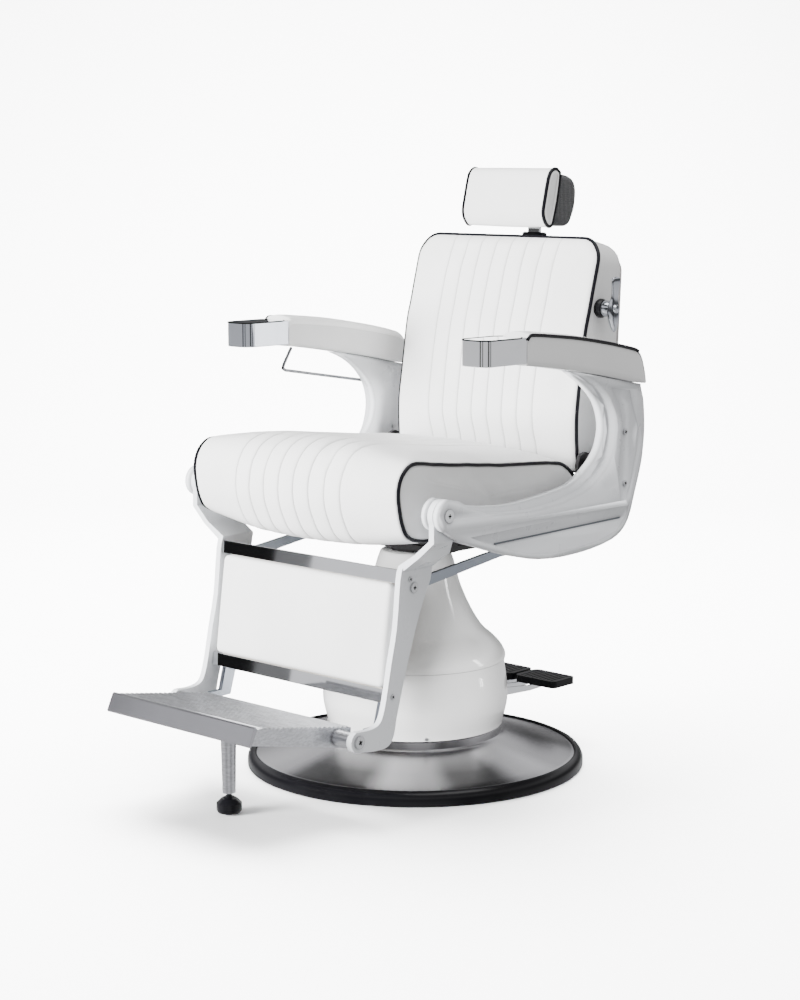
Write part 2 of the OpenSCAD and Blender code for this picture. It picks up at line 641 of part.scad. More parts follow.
module leveling_foot() color("#1c1c1e") translate([0, support_y, 0]) {
  translate([0, 0, 3]) cylinder(h = 4, r1 = 20, r2 = 22.5);
  translate([0, 0, 7]) cylinder(h = 13, r = 22.5);
  translate([0, 0, 20]) cylinder(h = 8, r1 = 22.5, r2 = 14);
  translate([0, 0, 28]) cylinder(h = 3.5, r = 9, $fn = 6);
  translate([0, 0, 31]) cylinder(h = 40, r = foot_thread_r);
}

// ---- pedals and pump plunger ----
// Two bars under a ribbed tread; horns reach up to the plunger's cross pin
module pedal(horns) {
  difference() {
    union() for (x = [10, 45]) {
      x_rod(pedal_pivot, 13, x, x + 5);
      plate([pedal_pivot + [0, 10], [280, 106], [350, 106], [350, 97], [280, 95],
        pedal_pivot + [0, -10]], x, x + 5);
      if (horns)
        plate(concat(shift([[2, -4], [8, 10], [-14, 32]], pedal_pivot),
          [[106, 151.5], [94, 151.5], [94, 144], [108, 132], pedal_pivot + [-10, 0]]), x, x + 5);
    }
    x_rod(pedal_pivot, shaft_r + clearance, 9, 51);
  }
  translate([55, 320, 106]) difference() {
    linear_extrude(14) rounded_rect(102, 70, 12);
    for (x = [-38:9.5:38]) translate([x - 1.5, -28, 12.4]) cube([3, 56, 3]);
  }
}
module pump_pedal() color("#3a3a3d") pedal(horns = true);
module release_pedal() color("#3a3a3d") mirrored() pedal(horns = false);
module pump_plunger() color("silver") {
  translate([plunger_x, plunger_y, 107]) cylinder(h = 55, r = plunger_r);
  x_rod([plunger_y, 156.5], 4, 7, 52.5);
}

function shown(name) = node == "all" || node == name;
if (shown("floor_plate")) floor_plate();
if (shown("floor_ring")) floor_ring();
if (shown("ram_cylinder")) ram_cylinder();
if (shown("gland_ring")) gland_ring();
if (shown("base_bolts")) base_bolts();
if (shown("pump_block")) pump_block();
if (shown("pedal_shaft")) pedal_shaft();
if (shown("pump_housing")) pump_housing();
if (shown("housing_screws")) housing_screws();
if (shown("ram_piston")) ram_piston();
if (shown("thrust_bearing")) thrust_bearing();
if (shown("swivel_head")) swivel_head();
if (shown("head_bolts")) head_bolts();
if (shown("bell_cover")) bell_cover();
if (shown("bell_screws")) bell_screws();
if (shown("seat_frame")) seat_frame();
if (shown("seat_board")) seat_board();
if (shown("seat_cushion")) seat_cushion();
if (shown("side_frame_left")) side_frame_left();
if (shown("side_frame_right")) side_frame_right();
if (shown("frame_screws")) frame_screws();
if (shown("leg_pivot_pins")) leg_pivot_pins();
if (shown("back_pivot_pins")) back_pivot_pins();
if (shown("arm_bars")) arm_bars();
if (shown("arm_pad_left")) arm_pad_left();
if (shown("arm_pad_right")) arm_pad_right();
if (shown("arm_box_left")) arm_box_left();
if (shown("arm_box_right")) arm_box_right();
if (shown("towel_bar")) towel_bar();
if (shown("back_frame")) back_frame();
if (shown("back_cushion")) back_cushion();
if (shown("back_board")) back_board();
if (shown("back_panel")) back_panel();
if (shown("neck_collar")) neck_collar();
if (shown("lever_boss")) lever_boss();
if (shown("link_bolts_rear")) link_bolts_rear();
if (shown("recline_lever")) recline_lever();
if (shown("neck_bar")) neck_bar();
if (shown("head_plate")) head_plate();
if (shown("head_cushion")) head_cushion();
if (shown("head_rear_pad")) head_rear_pad();
if (shown("leg_arm_left")) leg_arm_left();
if (shown("leg_arm_right")) leg_arm_right();
if (shown("leg_rail_upper")) leg_rail_upper();
if (shown("leg_rail_lower")) leg_rail_lower();
if (shown("calf_board")) calf_board();
if (shown("calf_panel")) calf_panel();
if (shown("leg_struts")) leg_struts();
if (shown("leg_screws")) leg_screws();
if (shown("link_bolts_front")) link_bolts_front();
if (shown("foot_pivot_bolts")) foot_pivot_bolts();
if (shown("link_bar_left")) link_bar_left();
if (shown("link_bar_right")) link_bar_right();
if (shown("footplate")) footplate();
if (shown("front_lip")) front_lip();
if (shown("support_leg")) support_leg();
if (shown("leveling_foot")) leveling_foot();
if (shown("pump_pedal")) pump_pedal();
if (shown("release_pedal")) release_pedal();
if (shown("pump_plunger")) pump_plunger();
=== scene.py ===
# A padded reclining chair on a round-based column, with headrest, leg rest and footplate.
# Z is up, the sitter faces -Y and the sitter's left is +X. The scene is in metres; outlines
# and sizes of the chair are in millimetres and are turned into metres by make().
import bpy
import bmesh
import json
import math
from functools import cached_property
import numpy as np
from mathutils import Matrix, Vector, kdtree

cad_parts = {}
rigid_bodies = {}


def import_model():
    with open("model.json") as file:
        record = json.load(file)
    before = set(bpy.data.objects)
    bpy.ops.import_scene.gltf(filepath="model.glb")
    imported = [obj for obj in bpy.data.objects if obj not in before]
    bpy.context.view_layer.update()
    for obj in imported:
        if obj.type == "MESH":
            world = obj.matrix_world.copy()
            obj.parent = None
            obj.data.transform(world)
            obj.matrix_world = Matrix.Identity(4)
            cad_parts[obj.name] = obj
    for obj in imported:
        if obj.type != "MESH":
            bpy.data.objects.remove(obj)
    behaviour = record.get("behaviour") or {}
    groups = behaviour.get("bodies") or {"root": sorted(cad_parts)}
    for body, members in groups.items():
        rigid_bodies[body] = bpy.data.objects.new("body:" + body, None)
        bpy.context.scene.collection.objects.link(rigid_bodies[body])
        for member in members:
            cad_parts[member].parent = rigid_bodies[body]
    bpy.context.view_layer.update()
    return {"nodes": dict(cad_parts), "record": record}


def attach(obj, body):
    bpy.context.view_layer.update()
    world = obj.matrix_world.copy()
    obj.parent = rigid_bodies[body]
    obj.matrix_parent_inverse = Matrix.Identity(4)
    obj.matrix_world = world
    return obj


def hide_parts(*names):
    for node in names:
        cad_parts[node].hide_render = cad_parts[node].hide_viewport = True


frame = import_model()
PARTS = frame["nodes"]
SLOTS = {s["node"]: s["material_slot"] for s in frame["record"]["subparts"]}
MM = 0.001
SIDES = ((1, "left"), (-1, "right"))

# Channel stitching shared by the seat and the backrest
CHANNEL = 38.0                                    # pitch of the channels across X
SEAMS = [CHANNEL * (k + 0.5) for k in range(-4, 4)]


# ------------------------------------------------------------------ shader nodes
class Nodes:
    """A node tree with short calls for the nodes used here; most return an output socket."""

    def __init__(self, tree):
        self.tree = tree
        self.normal = None

    @cached_property
    def place(self):
        return self.node("TexCoord").outputs["Object"]

    def feed(self, socket, value):
        if isinstance(value, bpy.types.NodeSocket):
            self.tree.links.new(value, socket)
        elif socket.type == "RGBA":
            socket.default_value = (*value, 1)
        else:
            socket.default_value = value

    def node(self, kind, inputs=None, **settings):
        node = self.tree.nodes.new("ShaderNode" + kind)
        for key, value in settings.items():
            setattr(node, key, value)
        for key, value in (inputs or {}).items():
            self.feed(node.inputs[key], value)
        return node

    def surface(self, values):
        for key, value in values.items():
            self.feed(self.shader.inputs[key], value)

    def split(self, vector):
        return self.node("SeparateXYZ", {0: vector}).outputs

    def noise(self, scale, detail=3.0, rough=0.5, at=None):
        return self.node("TexNoise", {"Scale": scale, "Detail": detail, "Roughness": rough,
                                      "Vector": at or self.place}).outputs["Fac"]

    def streaks(self, stretch, detail, rough=0.6):
        """Noise drawn out along the axes where stretch is small."""
        mapped = self.node("Mapping", {"Vector": self.place, "Scale": stretch}).outputs[0]
        return self.noise(scale=1.0, detail=detail, rough=rough, at=mapped)

    def remap(self, value, to=(0, 1), over=(0, 1)):
        return self.node("MapRange", {0: value, 1: over[0], 2: over[1],
                                      3: to[0], 4: to[1]}).outputs[0]

    def patches(self, scale, detail, strength=1):
        """Noise with its contrast raised, from 0 to strength."""
        return self.remap(self.noise(scale, detail), to=(0, strength), over=(0.3, 0.7))

    def blend(self, amount, base, other):
        return self.node("Mix", {0: amount, 6: base, 7: other}, data_type="RGBA").outputs[2]

    def calc(self, operation, *values):
        return self.node("Math", dict(enumerate(values)), operation=operation).outputs[0]

    def ramp(self, value, stops, interpolation="LINEAR"):
        """Colour ramp through (position, colour) stops, the first at 0 and the last at 1."""
        node = self.node("ValToRGB", {0: value})
        node.color_ramp.interpolation = interpolation
        elements = node.color_ramp.elements
        elements[0].color = (*stops[0][1], 1)
        elements[1].color = (*stops[-1][1], 1)
        for position, colour in stops[1:-1]:
            elements.new(position).color = (*colour, 1)
        return node.outputs[0]

    def bump(self, height, strength, distance):
        """Adds a bump on top of those already there."""
        inputs = {"Strength": strength, "Distance": distance, "Height": height}
        if self.normal is not None:
            inputs["Normal"] = self.normal
        self.normal = self.node("Bump", inputs).outputs[0]
        self.surface({"Normal": self.normal})

    def crevice_shade(self, base, colour, reach, low, keep):
        """Paints shade into narrow corners, within reach metres of the next surface."""
        node = self.node("AmbientOcclusion", {"Distance": reach}, samples=6)
        open_ = self.remap(node.outputs["AO"], over=(low, 0.98))
        return self.blend(open_, tint(colour, keep), base)


def new_material(name, shader="BsdfPrincipled"):
    material = bpy.data.materials.new(name)
    material.use_nodes = True
    nodes = Nodes(material.node_tree)
    nodes.tree.nodes.clear()
    nodes.material = material
    nodes.shader = nodes.node(shader)
    nodes.node("OutputMaterial", {0: nodes.shader.outputs[0]})
    return nodes


def tint(colour, factor):
    return [min(1, c * factor) for c in colour]


# ------------------------------------------------------------------ materials
def grained_vinyl(name, colour, rough, grain):
    """Vinyl with a fine cell grain. Returns its nodes and its colour socket."""
    s = new_material(name)
    base = s.blend(s.patches(scale=9, detail=2), tint(colour, 0.965), tint(colour, 1.02))
    base = s.blend(s.patches(scale=160, detail=3, strength=0.06), base, tint(colour, 0.9))
    uneven = s.remap(s.noise(scale=45, detail=3), to=(rough - 0.05, rough + 0.08))
    s.surface({"Base Color": base, "Roughness": uneven,
               "Specular IOR Level": 0.4, "Sheen Weight": 0.05})
    cells = s.node("TexVoronoi", {"Scale": 900, "Vector": s.place}, feature="SMOOTH_F1")
    s.bump(cells.outputs["Distance"], strength=grain, distance=0.0004)
    s.bump(s.noise(scale=260, detail=4), strength=grain * 0.8, distance=0.0005)
    return s, base


def vinyl(name, colour, rough=0.42, grain=0.16):
    return grained_vinyl(name, colour, rough, grain)[0].material


def pleated_vinyl(name, colour, rough=0.42, grain=0.16):
    """Vinyl with a thin dark line and a row of short stitches along each channel seam, all
    painted shade, with a softer painted shade either side of the seam.
    """
    s, base = grained_vinyl(name, colour, rough, grain)
    pitch = CHANNEL * MM
    x, y, z = s.split(s.place)
    shifted = s.calc("ADD", x, pitch / 2)
    seam = s.calc("MULTIPLY", s.calc("ROUND", s.calc("DIVIDE", shifted, pitch)), pitch)
    near = s.calc("ABSOLUTE", s.calc("SUBTRACT", shifted, seam))
    # no seams beyond the outermost channels
    inside = s.remap(s.calc("ABSOLUTE", x), to=(1, 0), over=(0.139, 0.140))
    line = s.calc("MULTIPLY", s.remap(near, to=(1, 0), over=(0.0006, 0.0014)), inside)
    seam_shade = s.calc("MULTIPLY", s.remap(near, to=(1, 0), over=(0.0008, 0.0060)), inside)
    # stitches repeat along the seam, which runs in Y and Z
    wave = s.calc("SINE", s.calc("MULTIPLY", s.calc("ADD", y, z), 1400.0))
    stitch = s.remap(wave, over=(-0.4, 0.4))
    # painted shade either side of each seam
    base = s.blend(s.calc("MULTIPLY", seam_shade, 0.16), base, tint(colour, 0.72))
    # the thin dark line along each seam, broken into stitches: painted shade
    stitch_shade = s.calc("MULTIPLY", line, s.remap(stitch, to=(0.42, 0.26)))
    s.surface({"Base Color": s.blend(stitch_shade, base, tint(colour, 0.45))})
    s.bump(s.calc("MULTIPLY", stitch, line), strength=0.5, distance=0.0006)
    s.bump(s.calc("SUBTRACT", 1.0, line), strength=0.6, distance=0.0008)
    return s.material


def paint(name, colour, rough, peel, coat=0.0, edge_wear_and_sheen=None, corner_shade_reach=None):
    """Paint with orange peel; it can give sharp edges a lighter colour in patches, partly rubbed
    paint and partly a painted highlight, and paint shade into corners within a reach given in
    metres.
    """
    s = new_material(name)
    base = s.blend(s.patches(scale=6, detail=2), tint(colour, 0.97), colour)
    # painted shade in corners
    if corner_shade_reach:
        base = s.crevice_shade(base, colour, reach=corner_shade_reach, low=0.45, keep=0.55)
    # lighter sharp edges, in patches: partly rubbed paint, partly a painted highlight
    if edge_wear_and_sheen:
        edges = s.remap(s.node("NewGeometry").outputs["Pointiness"], over=(0.52, 0.62))
        edge_patches = s.remap(s.noise(scale=70, detail=4), to=(0, 0.7), over=(0.45, 0.7))
        base = s.blend(s.calc("MULTIPLY", edges, edge_patches), base, edge_wear_and_sheen)
    uneven = s.remap(s.noise(scale=30, detail=4), to=(rough * 0.8, rough * 1.25))
    s.surface({"Base Color": base, "Roughness": uneven,
               "Coat Weight": coat, "Coat Roughness": 0.06})
    s.bump(s.noise(scale=420, detail=2), strength=peel, distance=0.0004)
    return s.material


def metal(name, colour, rough, spread, brush=None, brush_depth=0.0):
    """Plain metal, or brushed if brush gives the stretch of the marks."""
    s = new_material(name)
    base = s.blend(s.patches(scale=14, detail=3), tint(colour, 0.93), colour)
    uneven = s.remap(s.noise(scale=14, detail=2), to=(rough, rough + spread), over=(0.3, 0.75))
    s.surface({"Base Color": base, "Metallic": 1.0, "Roughness": uneven})
    if brush:
        s.bump(s.streaks(brush, detail=4), strength=brush_depth, distance=0.0003)
    return s.material


def ribbed_metal(name, colour):
    """Cast aluminium: painted streaks of light and shade along the ribs, and painted shade in
    the narrow gaps between them.
    """
    s = new_material(name)
    rib_light_streaks = s.streaks((45, 120, 330), detail=3)
    # streaks of rib highlight and shade, painted into the colour
    base = s.blend(s.remap(rib_light_streaks, over=(0.36, 0.66)), tint(colour, 0.74), colour)
    # painted shade between the ribs
    base = s.crevice_shade(base, colour, reach=0.006, low=0.30, keep=0.20)
    s.surface({"Base Color": base, "Metallic": 1.0,
               "Roughness": s.remap(rib_light_streaks, to=(0.30, 0.40), over=(0.3, 0.7))})
    s.bump(s.noise(scale=500, detail=2), strength=0.03, distance=0.0003)
    return s.material


# Painted reflections on spun metal, fans of light and dark: degrees about Z, brightness
FAN_REFLECTIONS = [
    (-180, 0.60), (-150, 0.80), (-114, 0.95), (-104, 0.85), (-92, 0.08), (-68, 0.0),
    (-56, 0.46), (-42, 0.46), (-31, 0.03), (-16, 0.08), (-3, 1.0), (7, 1.0), (18, 0.62),
    (34, 0.60), (46, 0.18), (60, 0.55), (90, 0.85), (110, 0.15), (135, 0.55), (150, 0.9),
    (165, 0.3), (180, 0.60),
]


def spun_metal_painted_fans(name, colour, rough):
    """Metal spun on a lathe: fine rings about Z, and broad fans of light and dark out from it,
    painted into the colour as reflections.
    """
    s = new_material(name)
    x, y, z = s.split(s.place)
    radius = s.calc("SQRT", s.calc("ADD", s.calc("MULTIPLY", x, x), s.calc("MULTIPLY", y, y)))
    across = s.node("CombineXYZ", {0: s.calc("MULTIPLY", radius, 900.0),
                                   2: s.calc("MULTIPLY", z, 300.0)}).outputs[0]
    rings = s.noise(scale=1.0, detail=4, rough=0.6, at=across)
    turn = s.remap(s.calc("ARCTAN2", y, x), over=(-math.pi, math.pi))
    painted_fans = s.ramp(turn, [((deg + 180) / 360, (k, k, k)) for deg, k in FAN_REFLECTIONS], "EASE")
    # the painted fans fade in outwards, and the rim is evenly bright, a painted highlight
    fade = s.remap(radius, to=(0.35, 1.0), over=(0.165, 0.245))
    light = s.blend(fade, (0.68, 0.68, 0.68), painted_fans)
    rim = s.remap(radius, to=(0, 0.75), over=(0.296, 0.302))
    light = s.blend(rim, light, (0.95, 0.95, 0.95))
    # colours of the painted light and dark
    bright = s.blend(rings, tint(colour, 0.93), colour)
    dark = s.blend(rings, tint(colour, 0.07), tint(colour, 0.08))
    level = s.node("RGBToBW", {0: light}).outputs[0]
    tangent = s.node("Tangent", direction_type="RADIAL", axis="Z").outputs[0]
    s.surface({"Base Color": s.blend(level, dark, bright), "Metallic": 1.0,
               "Anisotropic": 0.4, "Tangent": tangent, "Roughness": rough})
    s.bump(rings, strength=0.04, distance=0.0003)
    return s.material


def rubber(name, colour, rough):
    s = new_material(name)
    dusty = [c * 1.2 + 0.0004 for c in colour]
    base = s.blend(s.patches(scale=7, detail=1, strength=0.5), colour, dusty)
    s.surface({"Base Color": base, "Roughness": rough, "Specular IOR Level": 0.22})
    s.bump(s.noise(scale=900, detail=2), strength=0.05, distance=0.0002)
    return s.material


def wood(name):
    s = new_material(name)
    grain = s.streaks((9, 120, 700), detail=5)
    s.surface({"Base Color": s.blend(grain, (0.58, 0.53, 0.46), (0.78, 0.74, 0.68)),
               "Roughness": 0.62})
    s.bump(grain, strength=0.2, distance=0.0004)
    return s.material


def mesh_fabric(name):
    """Dark cloth with small round holes in near-even rows."""
    s = new_material(name)
    mapped = s.node("Mapping", {"Vector": s.place}).outputs[0]
    cells = s.node("TexVoronoi", {"Scale": 250, "Randomness": 0.12, "Vector": mapped},
                   feature="F1")
    weave = s.remap(cells.outputs["Distance"], over=(0.22, 0.42))
    base = s.blend(weave, (0.004, 0.004, 0.005), (0.036, 0.037, 0.041))
    worn = s.remap(s.noise(scale=30, detail=3), to=(0, 0.4), over=(0.35, 0.7))
    s.surface({"Base Color": s.blend(worn, base, (0.02, 0.021, 0.023)),
               "Roughness": 0.82, "Sheen Weight": 0.25})
    s.bump(weave, strength=0.9, distance=0.0012)
    return s.material


MATERIAL = {
    "white_vinyl": vinyl("white_vinyl", (0.84, 0.84, 0.835)),
    "pleated_vinyl": pleated_vinyl("pleated_vinyl", (0.86, 0.86, 0.855)),
    # a darker copy of the white vinyl for faces turned away from the lamps: painted shade
    "shaded_side_vinyl": vinyl("shaded_side_vinyl", (0.68, 0.68, 0.68), rough=0.45, grain=0.18),
    "piping": rubber("piping_vinyl", (0.004, 0.004, 0.006), rough=0.34),
    "gloss_white": paint("gloss_white", (0.84, 0.84, 0.835), rough=0.14, peel=0.03, coat=0.5),
    # cast_white: lighter sharp edges, partly rubbed paint and partly a painted highlight, and
    # painted shade in its corners
    "cast_white": paint("cast_white", (0.75, 0.765, 0.79), rough=0.28, peel=0.10, coat=0.15,
                        edge_wear_and_sheen=(0.80, 0.81, 0.82), corner_shade_reach=0.004),
    # edge_white: a lighter copy of the casting paint for the rim faces, painted light
    "edge_white": paint("edge_white", (0.84, 0.845, 0.85), rough=0.3, peel=0.08, coat=0.1),
    "rubber_tread": rubber("rubber_tread", (0.012, 0.012, 0.013), rough=0.55),
    "chrome": metal("chrome", (0.88, 0.89, 0.91), rough=0.035, spread=0.04),
    "lever_metal": metal("lever_metal", (0.50, 0.52, 0.56), rough=0.10, spread=0.03),
    # a darker copy of chrome for the towel bar: painted shade in its reflections
    "wire_metal": metal("wire_metal", (0.20, 0.205, 0.215), rough=0.20, spread=0.03),
    # a darker copy of chrome for the far arm box: painted shade in its reflections
    "shaded_far_chrome": metal("shaded_far_chrome", (0.56, 0.585, 0.64), rough=0.06, spread=0.03),
    "lip_metal": metal("lip_metal", (0.50, 0.50, 0.53), rough=0.30, spread=0.03),
    "link_metal": metal("link_metal", (0.34, 0.37, 0.42), rough=0.34, spread=0.02),
    "bare_steel": metal("bare_steel", (0.40, 0.43, 0.48), rough=0.24, spread=0.02),
    "zinc_fastener": metal("zinc_fastener", (0.62, 0.63, 0.64), rough=0.22, spread=0.15),
    "cast_aluminium": ribbed_metal("cast_aluminium", (0.74, 0.75, 0.78)),
    "bright_aluminium": metal("bright_aluminium", (0.80, 0.81, 0.83), rough=0.20, spread=0.08,
                              brush=(20, 900, 900), brush_depth=0.06),
    "satin_steel": spun_metal_painted_fans("satin_steel", (0.64, 0.635, 0.655), rough=0.27),
    "black_paint": paint("black_paint", (0.022, 0.022, 0.023), rough=0.42, peel=0.08,
                         edge_wear_and_sheen=(0.045, 0.045, 0.046)),
    "black_rubber": rubber("black_rubber", (0.004, 0.004, 0.005), rough=0.26),
    "pedal_rubber": rubber("pedal_rubber", (0.004, 0.004, 0.005), rough=0.45),
    "black_plastic": rubber("black_plastic", (0.005, 0.005, 0.006), rough=0.3),
    # painted shadow for the grooves of the side castings
    "groove": paint("groove_shadow_paint", (0.10, 0.11, 0.13), rough=0.5, peel=0.1),
    "recess": rubber("recess_shadow", (0.002, 0.002, 0.002), rough=0.8),
    "plywood": wood("plywood"),
    "grey_mesh": mesh_fabric("grey_mesh"),
}


# ------------------------------------------------------------------ mesh tools
def make(name, verts, faces, material, body=None, smooth=True, sharp=None, unit=MM,
         replaces=None, slot=None):
    """A mesh object on a body of the frame. Edges of more than `sharp` degrees stay crisp."""
    mesh = bpy.data.meshes.new(name)
    mesh.from_pydata((np.array(verts, float) * unit).tolist(), [], faces)
    mesh.validate()
    bm = bmesh.new()
    bm.from_mesh(mesh)
    bmesh.ops.remove_doubles(bm, verts=bm.verts, dist=1e-6)
    bmesh.ops.recalc_face_normals(bm, faces=bm.faces)
    bm.to_mesh(mesh)
    bm.free()
    obj = bpy.data.objects.new(name, mesh)
    bpy.context.scene.collection.objects.link(obj)
    mesh.materials.append(MATERIAL[material])
    if smooth:
        mesh.polygons.foreach_set("use_smooth", [True] * len(mesh.polygons))
    if sharp:
        sharpen(mesh, sharp)
    if body:
        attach(obj, body)
    if replaces:
        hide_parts(replaces)
    return obj


def sharpen(mesh, degrees):
    bm = bmesh.new()
    bm.from_mesh(mesh)
    limit = math.radians(degrees)
    for edge in bm.edges:
        edge.smooth = not (len(edge.link_faces) == 2 and edge.calc_face_angle(0) > limit)
    bm.to_mesh(mesh)
    bm.free()


def grid_faces(rows, cols, wrap_cols=False, wrap_rows=False, offset=0):
    faces = []
    for i in range(rows if wrap_rows else rows - 1):
        for j in range(cols if wrap_cols else cols - 1):
            here, there = i * cols + offset, (i + 1) % rows * cols + offset
            k = (j + 1) % cols
            faces.append((here + j, here + k, there + k, there + j))
    return faces


def loft(name, rings, material, body=None, caps=True, wrap=False, **options):
    """Skin over closed rings; wrap joins the last ring to the first."""
    rings = [np.array(r, float) for r in rings]
    size, total = len(rings[0]), len(rings) * len(rings[0])
    faces = grid_faces(len(rings), size, wrap_cols=True, wrap_rows=wrap)
    if caps:
        faces.append(tuple(range(size))[::-1])
        faces.append(tuple(range(total - size, total)))
    return make(name, np.vstack(rings), faces, material, body, **options)


def tube(name, path, radius, material, body, closed=False, segments=10):
    """Round tube along a path, its section carried along without twisting."""
    p = np.array(path, float)
    count = len(p)
    along = (np.roll(p, -1, 0) - np.roll(p, 1, 0)) if closed else np.gradient(p, axis=0)
    along /= np.linalg.norm(along, axis=1)[:, None]
    up = np.array([0.0, 0, 1]) if abs(along[0][2]) < 0.9 else np.array([1.0, 0, 0])
    first = np.cross(along[0], up)
    sides = [first / np.linalg.norm(first)]
    for i in range(1, count):
        side = sides[-1] - along[i] * np.dot(sides[-1], along[i])
        sides.append(side / np.linalg.norm(side))
    sides = np.array(sides)
    if closed:
        # spread the closing twist along the loop
        end = sides[-1] - along[0] * np.dot(sides[-1], along[0])
        end /= np.linalg.norm(end)
        twist = math.atan2(np.dot(end, np.cross(along[0], sides[0])), np.dot(end, sides[0]))
        for i in range(count):
            a = -twist * i / count
            other = np.cross(along[i], sides[i])
            sides[i] = sides[i] * math.cos(a) + other * math.sin(a)
    rings = []
    for point, direction, side in zip(p, along, sides):
        other = np.cross(direction, side)
        rings.append([point + radius * (side * math.cos(a) + other * math.sin(a))
                      for a in np.linspace(0, 2 * math.pi, segments + 1)[:-1]])
    return loft(name, rings, material, body, caps=not closed, wrap=closed)


def spline(points, steps=8, closed=False):
    """Catmull-Rom curve through the points, with `steps` to a span."""
    p = np.array(points, float)
    count = len(p)
    out = []
    for i in range(count if closed else count - 1):
        near = np.arange(i - 1, i + 3)
        a, b, c, d = p[near % count if closed else np.clip(near, 0, count - 1)]
        for j in range(steps):
            t = j / steps
            out.append(0.5 * (2 * b + (c - a) * t + (2 * a - 5 * b + 4 * c - d) * t * t
                              + (3 * b - a - 3 * c + d) * t ** 3))
    if not closed:
        out.append(p[-1])
    return np.array(out)


def resample(points, count, closed=False):
    """The same line with its points evenly spaced."""
    p = np.array(points, float)
    q = np.vstack([p, p[:1]]) if closed else p
    s = np.r_[0, np.cumsum(np.linalg.norm(np.diff(q, axis=0), axis=1))]
    t = np.linspace(0, s[-1], count + 1)[:-1] if closed else np.linspace(0, s[-1], count)
    return np.stack([np.interp(t, s, q[:, k]) for k in range(q.shape[1])], 1)


def normals_2d(p, closed=True):
    """Outward normals of a closed flat loop, or right-hand normals of an open line."""
    along = (np.roll(p, -1, 0) - np.roll(p, 1, 0)) if closed else np.gradient(p, axis=0)
    along /= np.maximum(np.linalg.norm(along, axis=1)[:, None], 1e-9)
    n = np.stack([along[:, 1], -along[:, 0]], 1)
    if closed:
        nxt = np.roll(p, -1, 0)
        if 0.5 * np.sum(p[:, 0] * nxt[:, 1] - nxt[:, 0] * p[:, 1]) < 0:
            n = -n
    return n


def at_x(x, loop):
    """Places a (y, z) loop at x, which may be one value or one for each point."""
    return np.column_stack([np.full(len(loop), x), loop])


def ease(x):
    x = np.clip(x, 0, 1)
    return x * x * (3 - 2 * x)


def edge_drop(distance, radius):
    """How far a surface drops at a distance from its edge, for a rounding radius."""
    d = np.clip(distance, 0, radius)
    return radius - np.sqrt(np.maximum(0, radius * radius - (radius - d) ** 2))


def unevenness(x, z, seed, depth):
    """Slow, repeatable unevenness of padding."""
    a = np.sin(x * 0.021 + seed) * np.cos(z * 0.017 + 1.7 * seed)
    b = np.sin(x * 0.047 - z * 0.031 + 2.3 * seed)
    c = np.sin(x * 0.013 + z * 0.052 + 0.6 * seed)
    return depth * (0.5 * a + 0.3 * b + 0.2 * c)


def pleat(x):
    """Outward height of the channels: a soft ridge between seams, a narrow valley at each."""
    x = np.asarray(x, float)
    height = np.zeros_like(x)
    for s in SEAMS:
        height -= 1.5 * np.exp(-((x - s) / 1.5) ** 2) + 0.8 * np.exp(-((x - s) / 5.0) ** 2)
    ridge = 0.7 * np.abs(np.sin(math.pi * (x + CHANNEL / 2) / CHANNEL)) ** 0.8
    return height + np.where(np.abs(x) < SEAMS[-1], ridge, 0)


def pleat_stations(half_width, spacing=9.0):
    """Places across X, crowded at the seams and at both edges."""
    count = int(2 * half_width / spacing) + 1
    xs = set(np.round(np.linspace(-half_width, half_width, count), 2))
    for s in SEAMS:
        for d in (-8, -5, -3.2, -2.1, -1.3, -0.65, 0, 0.65, 1.3, 2.1, 3.2, 5, 8):
            xs.add(round(s + d, 2))
    for d in (0.0, 1.5, 3.5, 6, 10, 15, 21):
        xs.add(round(half_width - d, 2))
        xs.add(round(-(half_width - d), 2))
    return np.array(sorted(xs))


# ------------------------------------------------------------------ seat
SEAT_HALF_WIDTH = 262.0
# Seat section from the bottom front over the top to the bottom rear, (y, z): at the sides,
# then in the middle
SEAT_SIDE = [
    (-255, 486), (-282, 491), (-301, 502), (-311, 519), (-318, 541), (-323, 574), (-318, 599),
    (-304, 617), (-285, 626), (-251, 625), (-153, 614), (-51, 603), (55, 595), (110, 589),
    (132, 580), (149, 564), (161, 543), (163, 500), (157, 486),
]
SEAT_MIDDLE = [
    (-262, 464), (-286, 467), (-311, 484), (-328, 514), (-337, 545), (-338, 580), (-330, 609),
    (-312, 632), (-287, 643), (-251, 644), (-153, 634), (-51, 622), (55, 612), (112, 600),
    (140, 584), (156, 566), (164, 543), (165, 504), (160, 488),
]


def seat_section(x):
    """Upper and lower lines of the seat at x, as (y, z) points."""
    x = abs(x)
    crown = (1 - min(1.0, x / SEAT_HALF_WIDTH) ** 2.3)
    section = np.array(SEAT_SIDE, float) * (1 - crown) + np.array(SEAT_MIDDLE, float) * crown
    upper = spline(section, 6)
    if x < 209.3:
        under = [(162, 501.6), (100, 501.6), (-100, 501.6), (-246, 501.6), (-259, 500.0)]
    elif x < 245.2:
        # the rear is cut away here
        upper[(upper[:, 0] >= 100) & (upper[:, 1] < 574)] = (163.0, 573.0)
        under = [(150, 560), (98, 510), (0, 510), (-200, 510), (-259, 509)]
    else:
        under = [(140, 486), (80, 486), (0, 486), (-140, 486), (-220, 486)]
    lower = []
    corners = [upper[-1]] + under + [upper[0]]
    for a, b in zip(corners[:-1], corners[1:]):
        for k in range(1, 5):
            lower.append(np.array(a) + (np.array(b, float) - np.array(a)) * k / 5)
        lower.append(np.array(b, float))
    return upper, np.array(lower[:-1])


# Rolled edge of the boxed side panel: inset from the outline, x
SEAT_PANEL_EDGE = [(2.5, 250.0), (3.4, 256.5), (5.0, 259.6), (9.0, 260.9), (15.0, 261.6),
                   (22.0, 262.1), (30.0, 262.6)]


